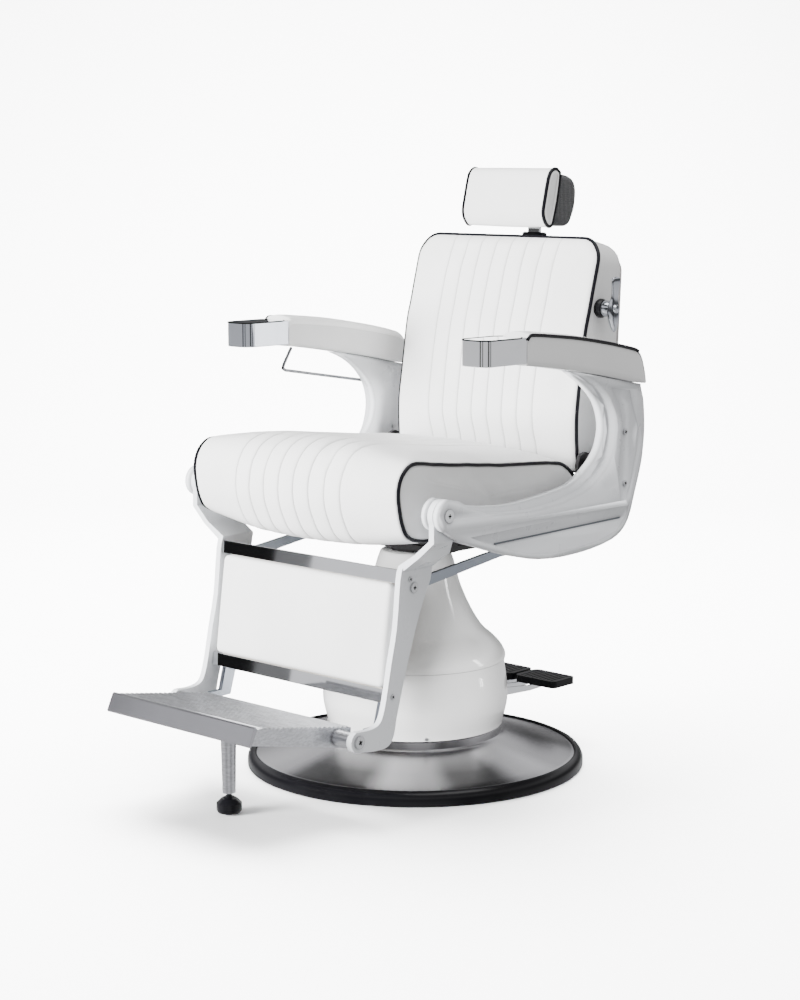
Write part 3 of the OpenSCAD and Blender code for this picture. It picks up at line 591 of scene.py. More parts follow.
def seat_side_panel(sign, side, loop, outward):
    rings = []
    for inset, x in SEAT_PANEL_EDGE:
        q = loop - outward * inset
        # slightly hollow in the middle of its length
        hollow = 0.9 * np.sin((q[:, 0] + 260) / 420 * math.pi) * ease((inset - 9) / 40)
        rings.append(at_x(sign * (x - hollow), q))
    middle = q.mean(0)
    for k in (0.82, 0.64, 0.46, 0.28, 0.12, 0.02):
        w = middle + (q - middle) * k
        x = 263.3 - 0.5 * np.sin(np.clip((w[:, 0] + 260) / 420, 0, 1) * math.pi)
        rings.append(at_x(sign * x, w))
    loft("seat_side_panel_" + side, rings, "shaded_side_vinyl", "chair", sharp=60, slot="white_vinyl")
    tube("seat_piping_" + side, at_x(sign * 259.2, loop - outward * 1.8), 3.4, "piping",
         "chair", closed=True)


def build_seat():
    xs = set(pleat_stations(SEAT_HALF_WIDTH))
    # a close pair of stations at each step in the underside
    for x in (209.0, 209.6, 245.0, 245.5):
        xs.update((x, -x))
    rings = []
    for x in sorted(xs):
        upper, lower = seat_section(x)
        n = normals_2d(upper, closed=False)
        if n[len(n) // 2][1] < 0:
            n = -n
        s = np.linspace(0, 1, len(upper))
        fade = ease((s - 0.02) / 0.05) * (1 - ease((s - 0.90) / 0.06))
        rise = pleat(x) * fade + unevenness(x, upper[:, 0] + upper[:, 1], 0.4, 1.3) * fade
        rise = rise - edge_drop(SEAT_HALF_WIDTH - abs(x), 7.0)
        if abs(x) > 255:
            lower[:, 1] += edge_drop(SEAT_HALF_WIDTH - abs(x), 6.0)
        # the boxed side panel lies over the last few millimetres
        drawn_in = x if abs(x) <= 250 else math.copysign(250 + (abs(x) - 250) * 0.55, x)
        rings.append(at_x(drawn_in, np.vstack([upper + n * rise[:, None], lower])))
    loft("seat_upholstery", rings, "pleated_vinyl", "chair", sharp=50,
         replaces="seat_cushion", slot="white_vinyl")
    loop = resample(np.vstack(seat_section(SEAT_HALF_WIDTH)), 220, closed=True)
    outward = normals_2d(loop)
    for sign, side in SIDES:
        seat_side_panel(sign, side, loop, outward)


# ------------------------------------------------------------------ backrest
# Front line of the backrest in side view, bottom to top: (y, z)
BACK_FRONT = spline([(200, 557), (193, 590), (190, 640), (192, 680), (200, 736), (213, 816),
                     (225, 860), (237, 904), (250, 949), (261, 984), (264, 993)])
BACK_HALF_WIDTH = 228.0
BACK_TOP, BACK_BOTTOM = 991.0, 557.0
TOP_CORNER, BOTTOM_CORNER = 45.0, 14.0


def back_front_y(z):
    return np.interp(z, BACK_FRONT[:, 1], BACK_FRONT[:, 0])


def back_rear_y(z):
    return np.interp(z, [557, 600, 965, 990], [305, 308.5, 330, 331])


def back_crown(x, z):
    """How far the front stands forward of its edge line."""
    return 8.0 * (1 - (np.abs(x) / BACK_HALF_WIDTH) ** 2.2) * ease((z - 600) / 60)


def back_half_width(z):
    """Half width at height z, with rounded corners."""
    z = np.asarray(z, float)
    half = np.full_like(z, BACK_HALF_WIDTH)
    for radius, inward in ((TOP_CORNER, z - (BACK_TOP - TOP_CORNER)),
                           (BOTTOM_CORNER, (BACK_BOTTOM + BOTTOM_CORNER) - z)):
        arc = np.sqrt(np.maximum(0, radius * radius - inward ** 2))
        half = np.where(inward > 0, BACK_HALF_WIDTH - radius + arc, half)
    return half


def back_edge_distance(x, z):
    """Distance of a point of the backrest's front to its outline."""
    x = np.abs(x)
    d = np.minimum(BACK_HALF_WIDTH - x, np.minimum(BACK_TOP - z, z - BACK_BOTTOM))
    cx, cz = BACK_HALF_WIDTH - TOP_CORNER, BACK_TOP - TOP_CORNER
    return np.where((x > cx) & (z > cz), TOP_CORNER - np.hypot(x - cx, z - cz), d)


def back_outline(top, inset):
    """Closed (x, z) outline of the backrest, starting at the bottom middle towards +X."""
    half = BACK_HALF_WIDTH - inset
    rt, rb = TOP_CORNER - inset * 0.9, BOTTOM_CORNER - inset * 0.5
    top, bottom = top - inset, BACK_BOTTOM + inset
    p = [(0, bottom), (half - rb, bottom)]
    p += [(half - rb + rb * math.sin(a), bottom + rb - rb * math.cos(a))
          for a in np.linspace(0.15, math.pi / 2, 8)]
    p += [(half - rt + rt * math.cos(a), top - rt + rt * math.sin(a))
          for a in np.linspace(0, math.pi / 2, 20)]
    p += [(-x, z) for x, z in p[::-1][:-1]]
    return resample(p, 360, closed=True)


def back_front():
    xs = pleat_stations(BACK_HALF_WIDTH, 8.0)
    zs = sorted(set(np.round(np.concatenate([
        np.linspace(BACK_BOTTOM, BACK_BOTTOM + 14, 8), np.linspace(BACK_BOTTOM + 14, 940, 70),
        np.linspace(940, 984, 26), np.linspace(984, BACK_TOP, 12)]), 2)))
    rows = []
    for z in zs:
        half = float(back_half_width(z))
        x = np.clip(xs, -half, half)
        d = back_edge_distance(x, z)
        fade = ease(d / 16.0)
        y = back_front_y(z) + edge_drop(d, 11.0) - back_crown(x, z) * fade
        y = y - (pleat(x) + unevenness(x, z, 1.9, 1.6)) * fade
        rows.append(np.column_stack([x, y, np.full_like(x, z)]))
    make("backrest_front", np.vstack(rows), grid_faces(len(zs), len(xs)), "pleated_vinyl",
         "backrest", sharp=70, replaces="back_cushion", slot="white_vinyl")


# Side band rings: share of the depth from front to rear, inset
BAND = [(-0.02, 5.0), (0.0, 0.9), (0.03, 0.2), (0.12, 0.0), (0.3, -0.4), (0.5, -0.7),
        (0.7, -0.4), (0.88, 0.2), (0.97, 1.6), (1.0, 5.0)]


def back_band_and_lining():
    rings = []
    for share, inset in BAND:
        depth = max(0.0, share)
        p = back_outline(BACK_TOP - 13.0 * depth, 1.2 + inset)
        front = back_front_y(np.minimum(p[:, 1], BACK_TOP)) + 11.0
        y = front + (back_rear_y(p[:, 1]) - front) * depth + (share < 0) * -3.0
        rings.append(np.column_stack([p[:, 0], y, p[:, 1]]))
    loft("backrest_side_band", rings, "shaded_side_vinyl", "backrest", caps=False, sharp=70,
         slot="white_vinyl")
    # the rear is closed by a ring at half size and a fan to the middle
    rim = rings[-1]
    n = len(rim)
    fan = [(n + i, n + (i + 1) % n, 2 * n) for i in range(n)]
    make("backrest_rear_lining",
         np.vstack([rim, rim * [0.5, 1, 0.5] + [0, 0, 385], [[0, 318.0, 770]]]),
         grid_faces(2, n, wrap_cols=True) + fan, "shaded_side_vinyl", "backrest", slot="white_vinyl")


def back_piping():
    p = back_outline(BACK_TOP, 0.8)
    path = np.column_stack([p[:, 0], back_front_y(p[:, 1]) + 9.0 - 1.5, p[:, 1]])
    # drawn in a little where it passes the pivot pins
    pin = np.hypot(path[:, 1] - 212, path[:, 2] - 573)
    path[:, 0] -= np.sign(path[:, 0]) * 3.2 * (1 - ease((pin - 14) / 16))
    tube("backrest_piping", path, 3.7, "piping", "backrest", closed=True)


# ------------------------------------------------------------------ headrest
HEAD_HALF_WIDTH = 103.0
# Headrest section, closed: (y, z)
HEAD_SECTION = [
    (257, 1013), (248, 1025), (245, 1040), (249, 1059), (256, 1088), (262, 1107), (270, 1117),
    (281, 1121), (291, 1117), (296, 1106), (288, 1062), (277, 1023), (272, 1013), (265, 1010),
]
# Rolled edge of the end panels: inset from the outline, x
HEAD_PANEL_EDGE = [(2.0, 97.0), (2.8, 100.0), (4.2, 101.6), (6.5, 102.5), (9.5, 103.1)]
# Rear pad section, (y, z): its rear line, then the line against the headrest
PAD_HALF_WIDTH = 96.0
PAD_REAR = [(286, 1021), (300, 1014), (331, 1011), (345, 1027), (354, 1048), (357, 1075),
            (351, 1096), (335, 1106), (309, 1110)]
PAD_FRONT = [(309, 1110), (302, 1085), (294, 1050), (286, 1021)]
PAD_SLOT_Y = 309.0


def build_head():
    section = resample(spline(HEAD_SECTION, closed=True), 150, closed=True)
    outward = normals_2d(section)
    half = HEAD_HALF_WIDTH
    edges = [s * (half - d) for s in (-1, 1) for d in (0, 1, 2.2, 4, 6.5, 10)]
    xs = sorted(set(np.round(np.concatenate([np.linspace(-half + 14, half - 14, 34), edges]),
                             2)))
    front = ease((285 - section[:, 0]) / 20)
    rings = []
    for x in xs:
        dome = 1.6 * (1 - (abs(x) / half) ** 2.2) + unevenness(x, section[:, 1], 3.1, 0.5)
        rise = -edge_drop(half - abs(x), 6.0) + dome * front
        rings.append(at_x(x, section + outward * rise[:, None]))
    loft("headrest_cover", rings, "white_vinyl", "headrest", sharp=60,
         replaces="head_cushion", slot="white_vinyl")
    for sign, side in SIDES:
        rings = [at_x(sign * x, section - outward * inset) for inset, x in HEAD_PANEL_EDGE]
        loft("headrest_end_" + side, rings, "shaded_side_vinyl", "headrest", sharp=60,
             slot="white_vinyl")
        tube("headrest_piping_" + side, at_x(sign * 101.2, section - outward * 1.3), 3.5,
             "piping", "headrest", closed=True)


def build_head_pad():
    """Rear pad in mesh cloth, hollow where the neck bar runs."""
    rear = resample(spline(PAD_REAR), 70)
    inner = resample(PAD_FRONT, 30)[1:-1]
    centre = np.array([318.0, 1062.0])
    half = PAD_HALF_WIDTH
    xs = sorted(set(np.round(np.concatenate([
        np.linspace(-82, 82, 40), [-43.2, -42.6, 42.6, 43.2],
        [s * (half - d) for s in (-1, 1) for d in (0, 1.2, 3, 5.5, 9, 13)]]), 2)))
    spoke = rear - centre
    length = np.linalg.norm(spoke, axis=1)
    rings = []
    for x in xs:
        drop = edge_drop(half - abs(x), 13.0)
        f = centre + spoke * (1 - drop / np.maximum(length, 20))[:, None]
        f += spoke / length[:, None] * (1.5 * (1 - (abs(x) / half) ** 2))
        if abs(x) < 43.0:
            # flat face and ceiling of the slot
            cut = (f[:, 0] > PAD_SLOT_Y) & (f[:, 1] < 1081)
            f[cut, 0] = PAD_SLOT_Y
            f[cut, 1] = np.maximum(f[cut, 1], 1012)
            f[(f[:, 0] > PAD_SLOT_Y) & (f[:, 1] < 1082.5), 1] = 1082
        rings.append(at_x(x, np.vstack([f, inner])))
    loft("headrest_rear_pad", rings, "grey_mesh", "headrest", sharp=75,
         replaces="head_rear_pad", slot="grey_mesh")


# ------------------------------------------------------------------ armrests
ARM_INNER_X, ARM_OUTER_X = 265.0, 333.0
ARM_CENTRE_X = (ARM_INNER_X + ARM_OUTER_X) / 2
# Top and bottom lines of the arm pad, front to rear: (y, z)
ARM_TOP = spline([(-71, 828), (-66, 834.5), (-55, 838), (-7, 834), (72, 825), (153, 812),
                  (222, 798.5), (246, 791), (259, 777), (268, 752), (272.5, 734)])
ARM_BOTTOM = spline([(-71, 782.5), (-66, 782), (-55, 781), (-7, 775), (72, 763.2),
                     (153, 749.3), (218, 736.3), (234, 733), (247, 731), (260, 729),
                     (268, 727.6)])


def arm_sections(i, height, sign):
    """Top, outer and inner lines of arm section i, as (x, height over the bottom line)."""
    x0, x1 = ARM_INNER_X, ARM_OUTER_X
    ro, ri = 5.0, 14.0                            # rounding of the outer and inner top edges
    width = x1 - ro - (x0 + ri)
    top = [(x1 - ro + ro * math.cos(a), height - ro + ro * math.sin(a))
           for a in np.linspace(0, math.pi / 2, 6)]
    top += [(x1 - ro - width * k, height + 3.0 * math.sin(math.pi * k)
             + unevenness(i * 9.0, k * 60, 5.0 + sign, 0.35))
            for k in np.linspace(0.08, 0.92, 12)]
    top += [(x0 + ri + ri * math.cos(a), height - ri + ri * math.sin(a))
            for a in np.linspace(math.pi / 2, math.pi * 0.98, 9)]
    top = [(x, max(h, 0.2 * height)) for x, h in top]
    outer = [(x1 - 0.6, height - ro - 1.0)]
    outer += [(x1 - 0.4 + 0.8 * math.sin(math.pi * k), (height - ro) * (1 - k))
              for k in np.linspace(0.06, 0.92, 8)]
    outer += [(x1 - 3.0, 0.4), (x1 - 8, 0.0)]
    wall = max(height - ri + 1.5, 0.25 * height)
    inner = [(x0 + 0.6, wall + 1.0)]
    inner += [(x0 + 0.5 - 0.8 * math.sin(math.pi * k), wall * (1 - k))
              for k in np.linspace(0.0, 0.92, 9)]
    inner += [(x0 + 3.0, 0.4), (x0 + 8, 0.0)]
    return top, outer, inner


def build_arm(sign, side):
    rows = [[], [], []]
    for i, (high, low) in enumerate(zip(ARM_TOP, ARM_BOTTOM)):
        height = np.linalg.norm(high - low)
        up = (high - low) / height
        for row, section in zip(rows, arm_sections(i, height, sign)):
            row.append([(sign * x, *(low + up * max(0, h))) for x, h in section])
    top, outer, inner = rows

    def sheet(part, grid, material="shaded_side_vinyl", **options):
        make("arm_%s_%s" % (side, part), np.array(grid).reshape(-1, 3),
             grid_faces(len(grid), len(grid[0])), material, "chair",
             slot="white_vinyl", **options)

    sheet("top", top, "white_vinyl", sharp=80, replaces="arm_pad_" + side)
    sheet("outer_side", outer, sharp=80)
    sheet("inner_side", inner, sharp=80)
    across = (ARM_INNER_X + 7.5, ARM_CENTRE_X - 14, ARM_CENTRE_X, ARM_CENTRE_X + 14,
              ARM_OUTER_X - 7.5)
    sheet("underside", [[(sign * x, *low) for x in across] for low in ARM_BOTTOM])
    for index, part, material in ((0, "front", "shaded_side_vinyl"), (-1, "rear", "white_vinyl")):
        loop = outer[index][::-1] + top[index] + inner[index][1:]
        make("arm_%s_%s_end" % (side, part), loop, [tuple(range(len(loop)))], material,
             "chair", smooth=False, slot="white_vinyl")
    # piping along the outer top edge
    path = [(sign * (ARM_OUTER_X - 0.6),
             *(low + (high - low) * (1 - 2.2 / np.linalg.norm(high - low))))
            for high, low in zip(ARM_TOP[2:], ARM_BOTTOM[2:]) if high[0] < 247]
    tube("arm_%s_piping" % side, path, 2.9, "piping", "chair")


build_seat()
back_front()
back_band_and_lining()
back_piping()
build_head()
build_head_pad()
for sign, side in SIDES:
    build_arm(sign, side)


# ------------------------------------------------------------------ stuffing
LAST_FRAME = 20


def points_of(mesh):
    co = np.zeros(len(mesh.vertices) * 3)
    mesh.vertices.foreach_get("co", co)
    return co.reshape(-1, 3)


def stuffing(rings, pinned, most):
    """Blows a closed cover up as cloth.

    Returns a function giving how far each place moved, scaled so the most is `most` mm.
    """
    cage = loft("cage", rings, "white_vinyl")
    remesh = cage.modifiers.new("remesh", "REMESH")
    remesh.mode = "VOXEL"
    remesh.voxel_size = 0.0065
    graph = bpy.context.evaluated_depsgraph_get()
    mesh = bpy.data.meshes.new_from_object(cage.evaluated_get(graph))
    cage.modifiers.clear()
    cage.data = mesh
    rest = points_of(mesh)
    held = np.nonzero(pinned(rest / MM))[0]
    cage.vertex_groups.new(name="held").add([int(i) for i in held], 1.0, "REPLACE")
    cloth = cage.modifiers.new("cloth", "CLOTH")
    settings = cloth.settings
    settings.quality = 5
    settings.mass = 0.3
    settings.tension_stiffness = settings.compression_stiffness = 25
    settings.shear_stiffness = 8
    settings.bending_stiffness = 1.0
    settings.use_pressure = True
    settings.uniform_pressure_force = 4.0
    settings.effector_weights.gravity = 0
    settings.vertex_group_mass = "held"
    cloth.collision_settings.use_self_collision = False
    cloth.point_cache.frame_start = 1
    cloth.point_cache.frame_end = LAST_FRAME
    scene = bpy.context.scene
    for number in range(1, LAST_FRAME + 1):
        scene.frame_set(number)
    blown = cage.evaluated_get(bpy.context.evaluated_depsgraph_get())
    moved = points_of(blown.to_mesh()) - rest
    blown.to_mesh_clear()
    # cap runaway points, in metres, then scale the whole
    moved *= np.minimum(1.0, 0.022 / np.maximum(np.linalg.norm(moved, axis=1), 1e-9))[:, None]
    length = np.linalg.norm(moved, axis=1)
    moved *= min(1.0, most * MM / max(np.percentile(length, 99.5), 1e-6))
    scene.frame_set(1)
    bpy.data.objects.remove(cage)
    bpy.data.meshes.remove(mesh)
    tree = kdtree.KDTree(len(rest))
    for i, v in enumerate(rest):
        tree.insert(v, i)
    tree.balance()

    def field(points):
        out = np.zeros((len(points), 3))
        for k, point in enumerate(points):
            near = tree.find_n(point, 8)
            w = np.array([1.0 / (hit[2] + 0.002) ** 2 for hit in near])
            out[k] = (moved[[hit[1] for hit in near]] * w[:, None]).sum(0) / w.sum()
        return out
    return field


def puff(prefixes, field, mask):
    """Moves the points of the objects so named by the field times the mask."""
    for obj in bpy.data.objects:
        if obj.type == "MESH" and obj.name.startswith(prefixes):
            co = points_of(obj.data)
            moved = field(co) * mask(co / MM)[:, None]
            obj.data.vertices.foreach_set("co", (co + moved).ravel())
            obj.data.update()


def stuff_seat():
    """Held along its underside and low on both piped edges."""
    rings = []
    for x in np.linspace(-SEAT_HALF_WIDTH, SEAT_HALF_WIDTH, 45):
        upper = seat_section(x)[0]
        lower = seat_section(min(abs(x), 200.0))[1]
        rings.append(at_x(x, np.vstack([upper, lower])))

    def held(p):
        return (p[:, 2] < 492) | ((np.abs(p[:, 0]) > 261.0) & (p[:, 2] < 500))

    def mask(p):
        return ease((p[:, 2] - 500) / 40) * (1 - ease((p[:, 1] - 110) / 45))

    puff(("seat_upholstery", "seat_side_panel", "seat_piping"),
         stuffing(rings, held, most=6.0), mask)


def stuff_back():
    """Held at its rear board."""
    rings = []
    for z in np.linspace(BACK_BOTTOM, BACK_TOP, 60):
        half = max(float(back_half_width(z)), 150.0)
        xs = np.linspace(-half, half, 40)
        front = back_front_y(z) - back_crown(xs, z)
        rear = float(back_rear_y(z)) - 1
        rings.append([(x, y, z) for x, y in zip(xs, front)] + [(x, rear, z) for x in xs[::-1]])

    def held(p):
        return p[:, 1] > back_rear_y(p[:, 2]) - 10

    def mask(p):
        return ((1 - ease((p[:, 1] - back_rear_y(p[:, 2]) + 60) / 50))
                * ease((p[:, 2] - 575) / 60)
                * (1 - 0.7 * ease((np.abs(p[:, 0]) - 214) / 12))
                * (1 - ease((p[:, 2] - 965) / 25)))

    puff(("backrest_front", "backrest_side_band", "backrest_piping"),
         stuffing(rings, held, most=5.0), mask)


stuff_seat()
stuff_back()

# ------------------------------------------------------------------ padded panels
# Planes of the backrest and of the leg rest: y and z of the origin, tilt about X in degrees
BACK_PLANE = (328, 560, -3.39)
LEG_PLANE = (-311, 217, -7.67)


def tilted(points, y0, z0, degrees):
    a = math.radians(degrees)
    p = np.asarray(points, float)
    y, z = p[..., 1], p[..., 2]
    return np.stack([p[..., 0], y0 + y * math.cos(a) - z * math.sin(a),
                     z0 + y * math.sin(a) + z * math.cos(a)], -1)


def crowded(count):
    """From -1 to 1, closer together towards the ends."""
    u = np.linspace(-1, 1, count)
    return np.sign(u) * (1 - (1 - np.abs(u)) ** 1.35)


def padded_panel(name, material, body, plane, half_width, z0, z1, y_edge, y_face, y_back,
                 facing, rounding, corner, rows, seed, depth, replaces):
    """A domed panel with rounded corners and wrapped edges; facing -1 is towards -Y."""
    cols = 70
    us = crowded(cols)
    middle, half_height = (z0 + z1) / 2, (z1 - z0) / 2
    face = []
    for v in crowded(rows):
        z = middle + v * half_height
        dz = half_height - abs(v) * half_height
        cut = corner - math.sqrt(max(0, corner ** 2 - max(0, corner - dz) ** 2))
        half = half_width - cut
        x = us * half
        d = np.minimum(half - np.abs(x), dz)
        dome = (1 - np.abs(us) ** 3.0) * (1 - abs(v) ** 2.6)
        y = (y_edge + (y_face - y_edge) * dome - facing * edge_drop(d, rounding) * 0.8
             + facing * unevenness(x, z, seed, depth) * ease(d / 20))
        face.append(np.column_stack([x, y, np.full_like(x, z)]))
    face = np.array(face)
    rim = np.concatenate([face[0, :-1], face[:-1, -1], face[-1, ::-1][:-1],
                          face[::-1, 0][:-1]])
    back = rim.copy()
    back[:, 1] = y_back
    start, size = rows * cols, len(rim)
    faces = grid_faces(rows, cols) + grid_faces(2, size, wrap_cols=True, offset=start)
    faces.append(tuple(range(start + size, start + 2 * size)))
    verts = np.vstack([face.reshape(-1, 3), rim, back])
    make(name, tilted(verts, *plane), faces, material, body, sharp=65, replaces=replaces,
         slot="white_vinyl")


padded_panel("calf_pad", "white_vinyl", "leg_rest", LEG_PLANE, half_width=215, z0=13.5,
             z1=196.5, y_edge=-8.0, y_face=-17.5, y_back=4.5, facing=-1, rounding=9.0,
             corner=12.0, rows=40, seed=2.2, depth=0.6, replaces="calf_panel")
padded_panel("backrest_rear_pad", "shaded_side_vinyl", "backrest", BACK_PLANE, half_width=216,
             z0=3.5, z1=396, y_edge=-2.5, y_face=9.5, y_back=-7.0, facing=1, rounding=6.0,
             corner=30.0, rows=70, seed=4.1, depth=0.8, replaces="back_panel")


# ------------------------------------------------------------------ neck bezel
def rounded_box(half, y0, y1, radius, steps=6):
    """Rectangle with rounded corners, as (x, y) points."""
    points = []
    for cx, cy, start in ((half - radius, y1 - radius, 0), (-half + radius, y1 - radius, 90),
                          (-half + radius, y0 + radius, 180), (half - radius, y0 + radius, 270)):
        for k in range(steps + 1):
            a = math.radians(start + 90 * k / steps)
            points.append((cx + radius * math.cos(a), cy + radius * math.sin(a)))
    return points


def build_bezel():
    """Black bezel round the neck bar, standing a little proud of the backrest."""
    low, high = 404, 436.8
    # outside: draw-in, height in the backrest plane
    outside = [(0, low), (0, 432.5), (0.6, 434.6), (1.9, 436.2), (3.4, high)]
    rings = [[(x, y, z) for x, y in rounded_box(25 - g, -22 + g, -0.2 - g, 5.0)]
             for g, z in outside]
    rings += [[(x, y, z) for x, y in rounded_box(14.6, -15.8, -7.2, 1.0)]
              for z in (high, low)]
    loft("neck_bezel", [tilted(r, *BACK_PLANE) for r in rings], "black_plastic", "backrest",
         caps=False, wrap=True, sharp=40, replaces="neck_collar", slot="black_plastic")


build_bezel()

# ------------------------------------------------------------------ recline lever
LEVER_Y, LEVER_Z = 262.0, 862.0
# Profiles turned about the crosswise lever axis: (x, radius)
COLLAR_PROFILE = [(227.5, 0.2), (227.5, 17), (229, 18), (234, 18), (236.5, 16.5),
                  (239.5, 15.5), (240.5, 14), (240.5, 0.2)]
HUB_PROFILE = [(241, 0.2), (241, 14.5), (243, 15.5), (246, 15.3), (252, 13.4), (258, 11.2),
               (264, 9.4), (268, 8.3), (270, 6.5), (270.4, 0.2)]
# Blade sections, bottom to top: z, y from the lever axis, half length in y, centre x,
# half thickness in x
BLADE = [
    (819, -1, 1.0, 263, 1.0), (822, -1, 4.0, 263, 3.4), (829, -1, 7.4, 262.5, 6.0),
    (840, -1, 10.6, 261.5, 7.8), (852, 0, 13.0, 260, 8.6), (862, 0.5, 13.4, 259.5, 8.0),
    (871, 1, 12.0, 260, 6.4), (879, 1.4, 9.6, 261, 4.8), (885, 1.6, 8.6, 262, 4.0),
    (893, 1.8, 9.6, 263, 3.6), (903, 2.2, 11.2, 263.5, 3.4), (912, 2.4, 12.0, 264, 3.2),
    (918, 2.6, 11.2, 264, 3.0), (921, 2.6, 8.6, 264, 2.4), (922, 2.6, 3.0, 264, 1.0),
]


def turned(name, profile, material, body, **options):
    rings = [[(x, LEVER_Y + r * math.cos(a), LEVER_Z + r * math.sin(a)) for x, r in profile]
             for a in np.linspace(0, 2 * math.pi, 65)[:-1]]
    loft(name, rings, material, body, caps=False, wrap=True, sharp=35, **options)


def build_blade():
    rings = []
    for z, dy, half_y, x, half_x in BLADE:
        ring = []
        for a in np.linspace(0, 2 * math.pi, 33)[:-1]:
            c, s = math.cos(a), math.sin(a)
            ring.append((x + half_x * math.copysign(abs(c) ** 0.7, c),
                         LEVER_Y + dy + half_y * math.copysign(abs(s) ** 0.75, s), z))
        rings.append(ring)
    loft("lever_blade", rings, "lever_metal", "release_lever", sharp=55, slot="chrome")


turned("lever_collar", COLLAR_PROFILE, "black_plastic", "backrest", replaces="lever_boss")
turned("lever_hub", HUB_PROFILE, "lever_metal", "release_lever", replaces="recline_lever",
       slot="chrome")
build_blade()

# ------------------------------------------------------------------ painted shade in small details
# Screw heads on each side: x, y, z, head radius, body
SCREWS = [
    (238, -266, 420, 4.5, "leg_rest"), (238, -311, 219, 4.5, "leg_rest"),
    (239, -257, 404, 6.0, "leg_rest"), (323.5, 224, 640, 5, "chair"),
    (323.5, 225, 544, 5, "chair"), (324.0, -261, 539, 6.0, "chair"),
    (240, -394, 154, 7.5, "leg_rest"),
]


def cross_recess_shade(name, x, y, z, radius, sign, body, turn):
    """The cross recess of a screw head, as two thin dark bars of painted shade just clear of the
    head.
    """
    half_length, half_width = radius * 0.62, radius * 0.2
    verts, faces = [], []
    for k in (0, 1):
        a = math.radians(turn + 90 * k)
        c, s = math.cos(a), math.sin(a)
        for dx in (0.0, 0.12):
            for i, j in ((-1, -1), (1, -1), (1, 1), (-1, 1)):
                u, w = i * half_length, j * half_width
                verts.append((sign * (x + dx + 0.02 * k), y + c * u - s * w, z + s * u + c * w))
        n = 8 * k
        faces += [(n, n + 1, n + 2, n + 3), (n + 4, n + 5, n + 6, n + 7)]
        faces += grid_faces(2, 4, wrap_cols=True, offset=n)
    make(name, verts, faces, "recess", body, smooth=False)


for sign, side in SIDES:
    for k, (x, y, z, radius, body) in enumerate(SCREWS):
        cross_recess_shade("screw_recess_%s_%d" % (side, k), x + 0.03, y, z, radius, sign, body,
                     turn=20 + 31 * k)

# painted shade line round the top of each arm box, open at the rear
ARM_BOX_Y, ARM_BOX_HALF = -125, 55
for sign, side in SIDES:
    outline = rounded_box(33.0, -ARM_BOX_HALF, ARM_BOX_HALF, 22.0, 10)
    outline = [(x, y) for x, y in outline if ARM_BOX_Y + y < -71.5]
    outline.sort(key=lambda q: math.atan2(q[0], ARM_BOX_HALF - q[1]))
    path = [(sign * ARM_CENTRE_X + x, ARM_BOX_Y + y, 831.6) for x, y in outline]
    tube("arm_box_line_" + side, path, 1.25, "recess", "chair", segments=8)

# painted shadow line in the groove of each side casting: (y, z)
GROOVE = [(-141, 475.0), (40, 477.5), (212, 479.9), (212, 482.1), (40, 479.7), (-141, 477.2)]
for sign, side in SIDES:
    loft("casting_groove_" + side, [at_x(sign * x, GROOVE) for x in (319.4, 321.0)],
         "groove", "chair", smooth=False)

# ------------------------------------------------------------------ hard pieces of the frame
DEFAULT_BEVEL = 0.4
BEVELS = {                                        # width: pieces
    2.0: ("arm_box_left", "arm_box_right"),
    1.8: ("leg_arm_left", "leg_arm_right"),
    1.5: ("neck_collar",),
    1.4: ("side_frame_left", "side_frame_right"),
    1.2: ("recline_lever",),
    1.0: ("lever_boss",),
    0.8: ("bell_cover", "front_lip", "support_leg", "seat_board", "back_board", "calf_board"),
    0.7: ("leg_rail_upper", "leg_rail_lower"),
    0.6: ("floor_ring", "link_bar_left", "link_bar_right", "leveling_foot"),
    0.5: ("floor_plate", "pump_housing", "neck_bar", "pump_pedal", "release_pedal"),
    0.35: ("footplate",),
    0.0: ("towel_bar",),
}
BEVEL_WIDTH = {name: width for width, names in BEVELS.items() for name in names}
# Pieces that look different from their material slot
LOOKS = {
    "leg_pivot_pins": "cast_white", "link_bar_left": "link_metal",
    # the towel bar gets a darker copy of chrome: painted shade
    "link_bar_right": "link_metal", "front_lip": "lip_metal", "towel_bar": "wire_metal",
    # the far arm box gets a darker copy of chrome: painted shade
    "arm_box_right": "shaded_far_chrome",
}


def skin_area(mesh):
    mesh.calc_loop_triangles()
    pts = np.empty(len(mesh.vertices) * 3)
    mesh.vertices.foreach_get("co", pts)
    pts = pts.reshape(-1, 3)
    tri = np.empty(len(mesh.loop_triangles) * 3, dtype=np.int32)
    mesh.loop_triangles.foreach_get("vertices", tri)
    a, b, c = (pts[tri.reshape(-1, 3)[:, k]] for k in range(3))
    return float(np.linalg.norm(np.cross(b - a, c - a), axis=1).sum() / 2)


def growth(obj):
    """Change of the skin's area under the object's modifiers, as a share."""
    shown = obj.evaluated_get(bpy.context.evaluated_depsgraph_get())
    area = skin_area(shown.to_mesh())
    shown.to_mesh_clear()
    return area / skin_area(obj.data) - 1


def dress(name, obj):
    """Gives a piece its material and smooth shading."""
    mesh = obj.data
    mesh.materials.clear()
    mesh.materials.append(MATERIAL[LOOKS.get(name, SLOTS[name])])
    if "custom_normal" in mesh.attributes:
        mesh.attributes.remove(mesh.attributes["custom_normal"])
    mesh.polygons.foreach_set("use_smooth", [True] * len(mesh.polygons))
    if name in ("pump_pedal", "release_pedal"):
        # metal low down and towards the column, rubber elsewhere
        mesh.materials.append(MATERIAL["bright_aluminium"])
        for polygon in mesh.polygons:
            centre = obj.matrix_world @ polygon.center
            if centre.z < 0.1059 or centre.y < 0.28:
                polygon.material_index = 1


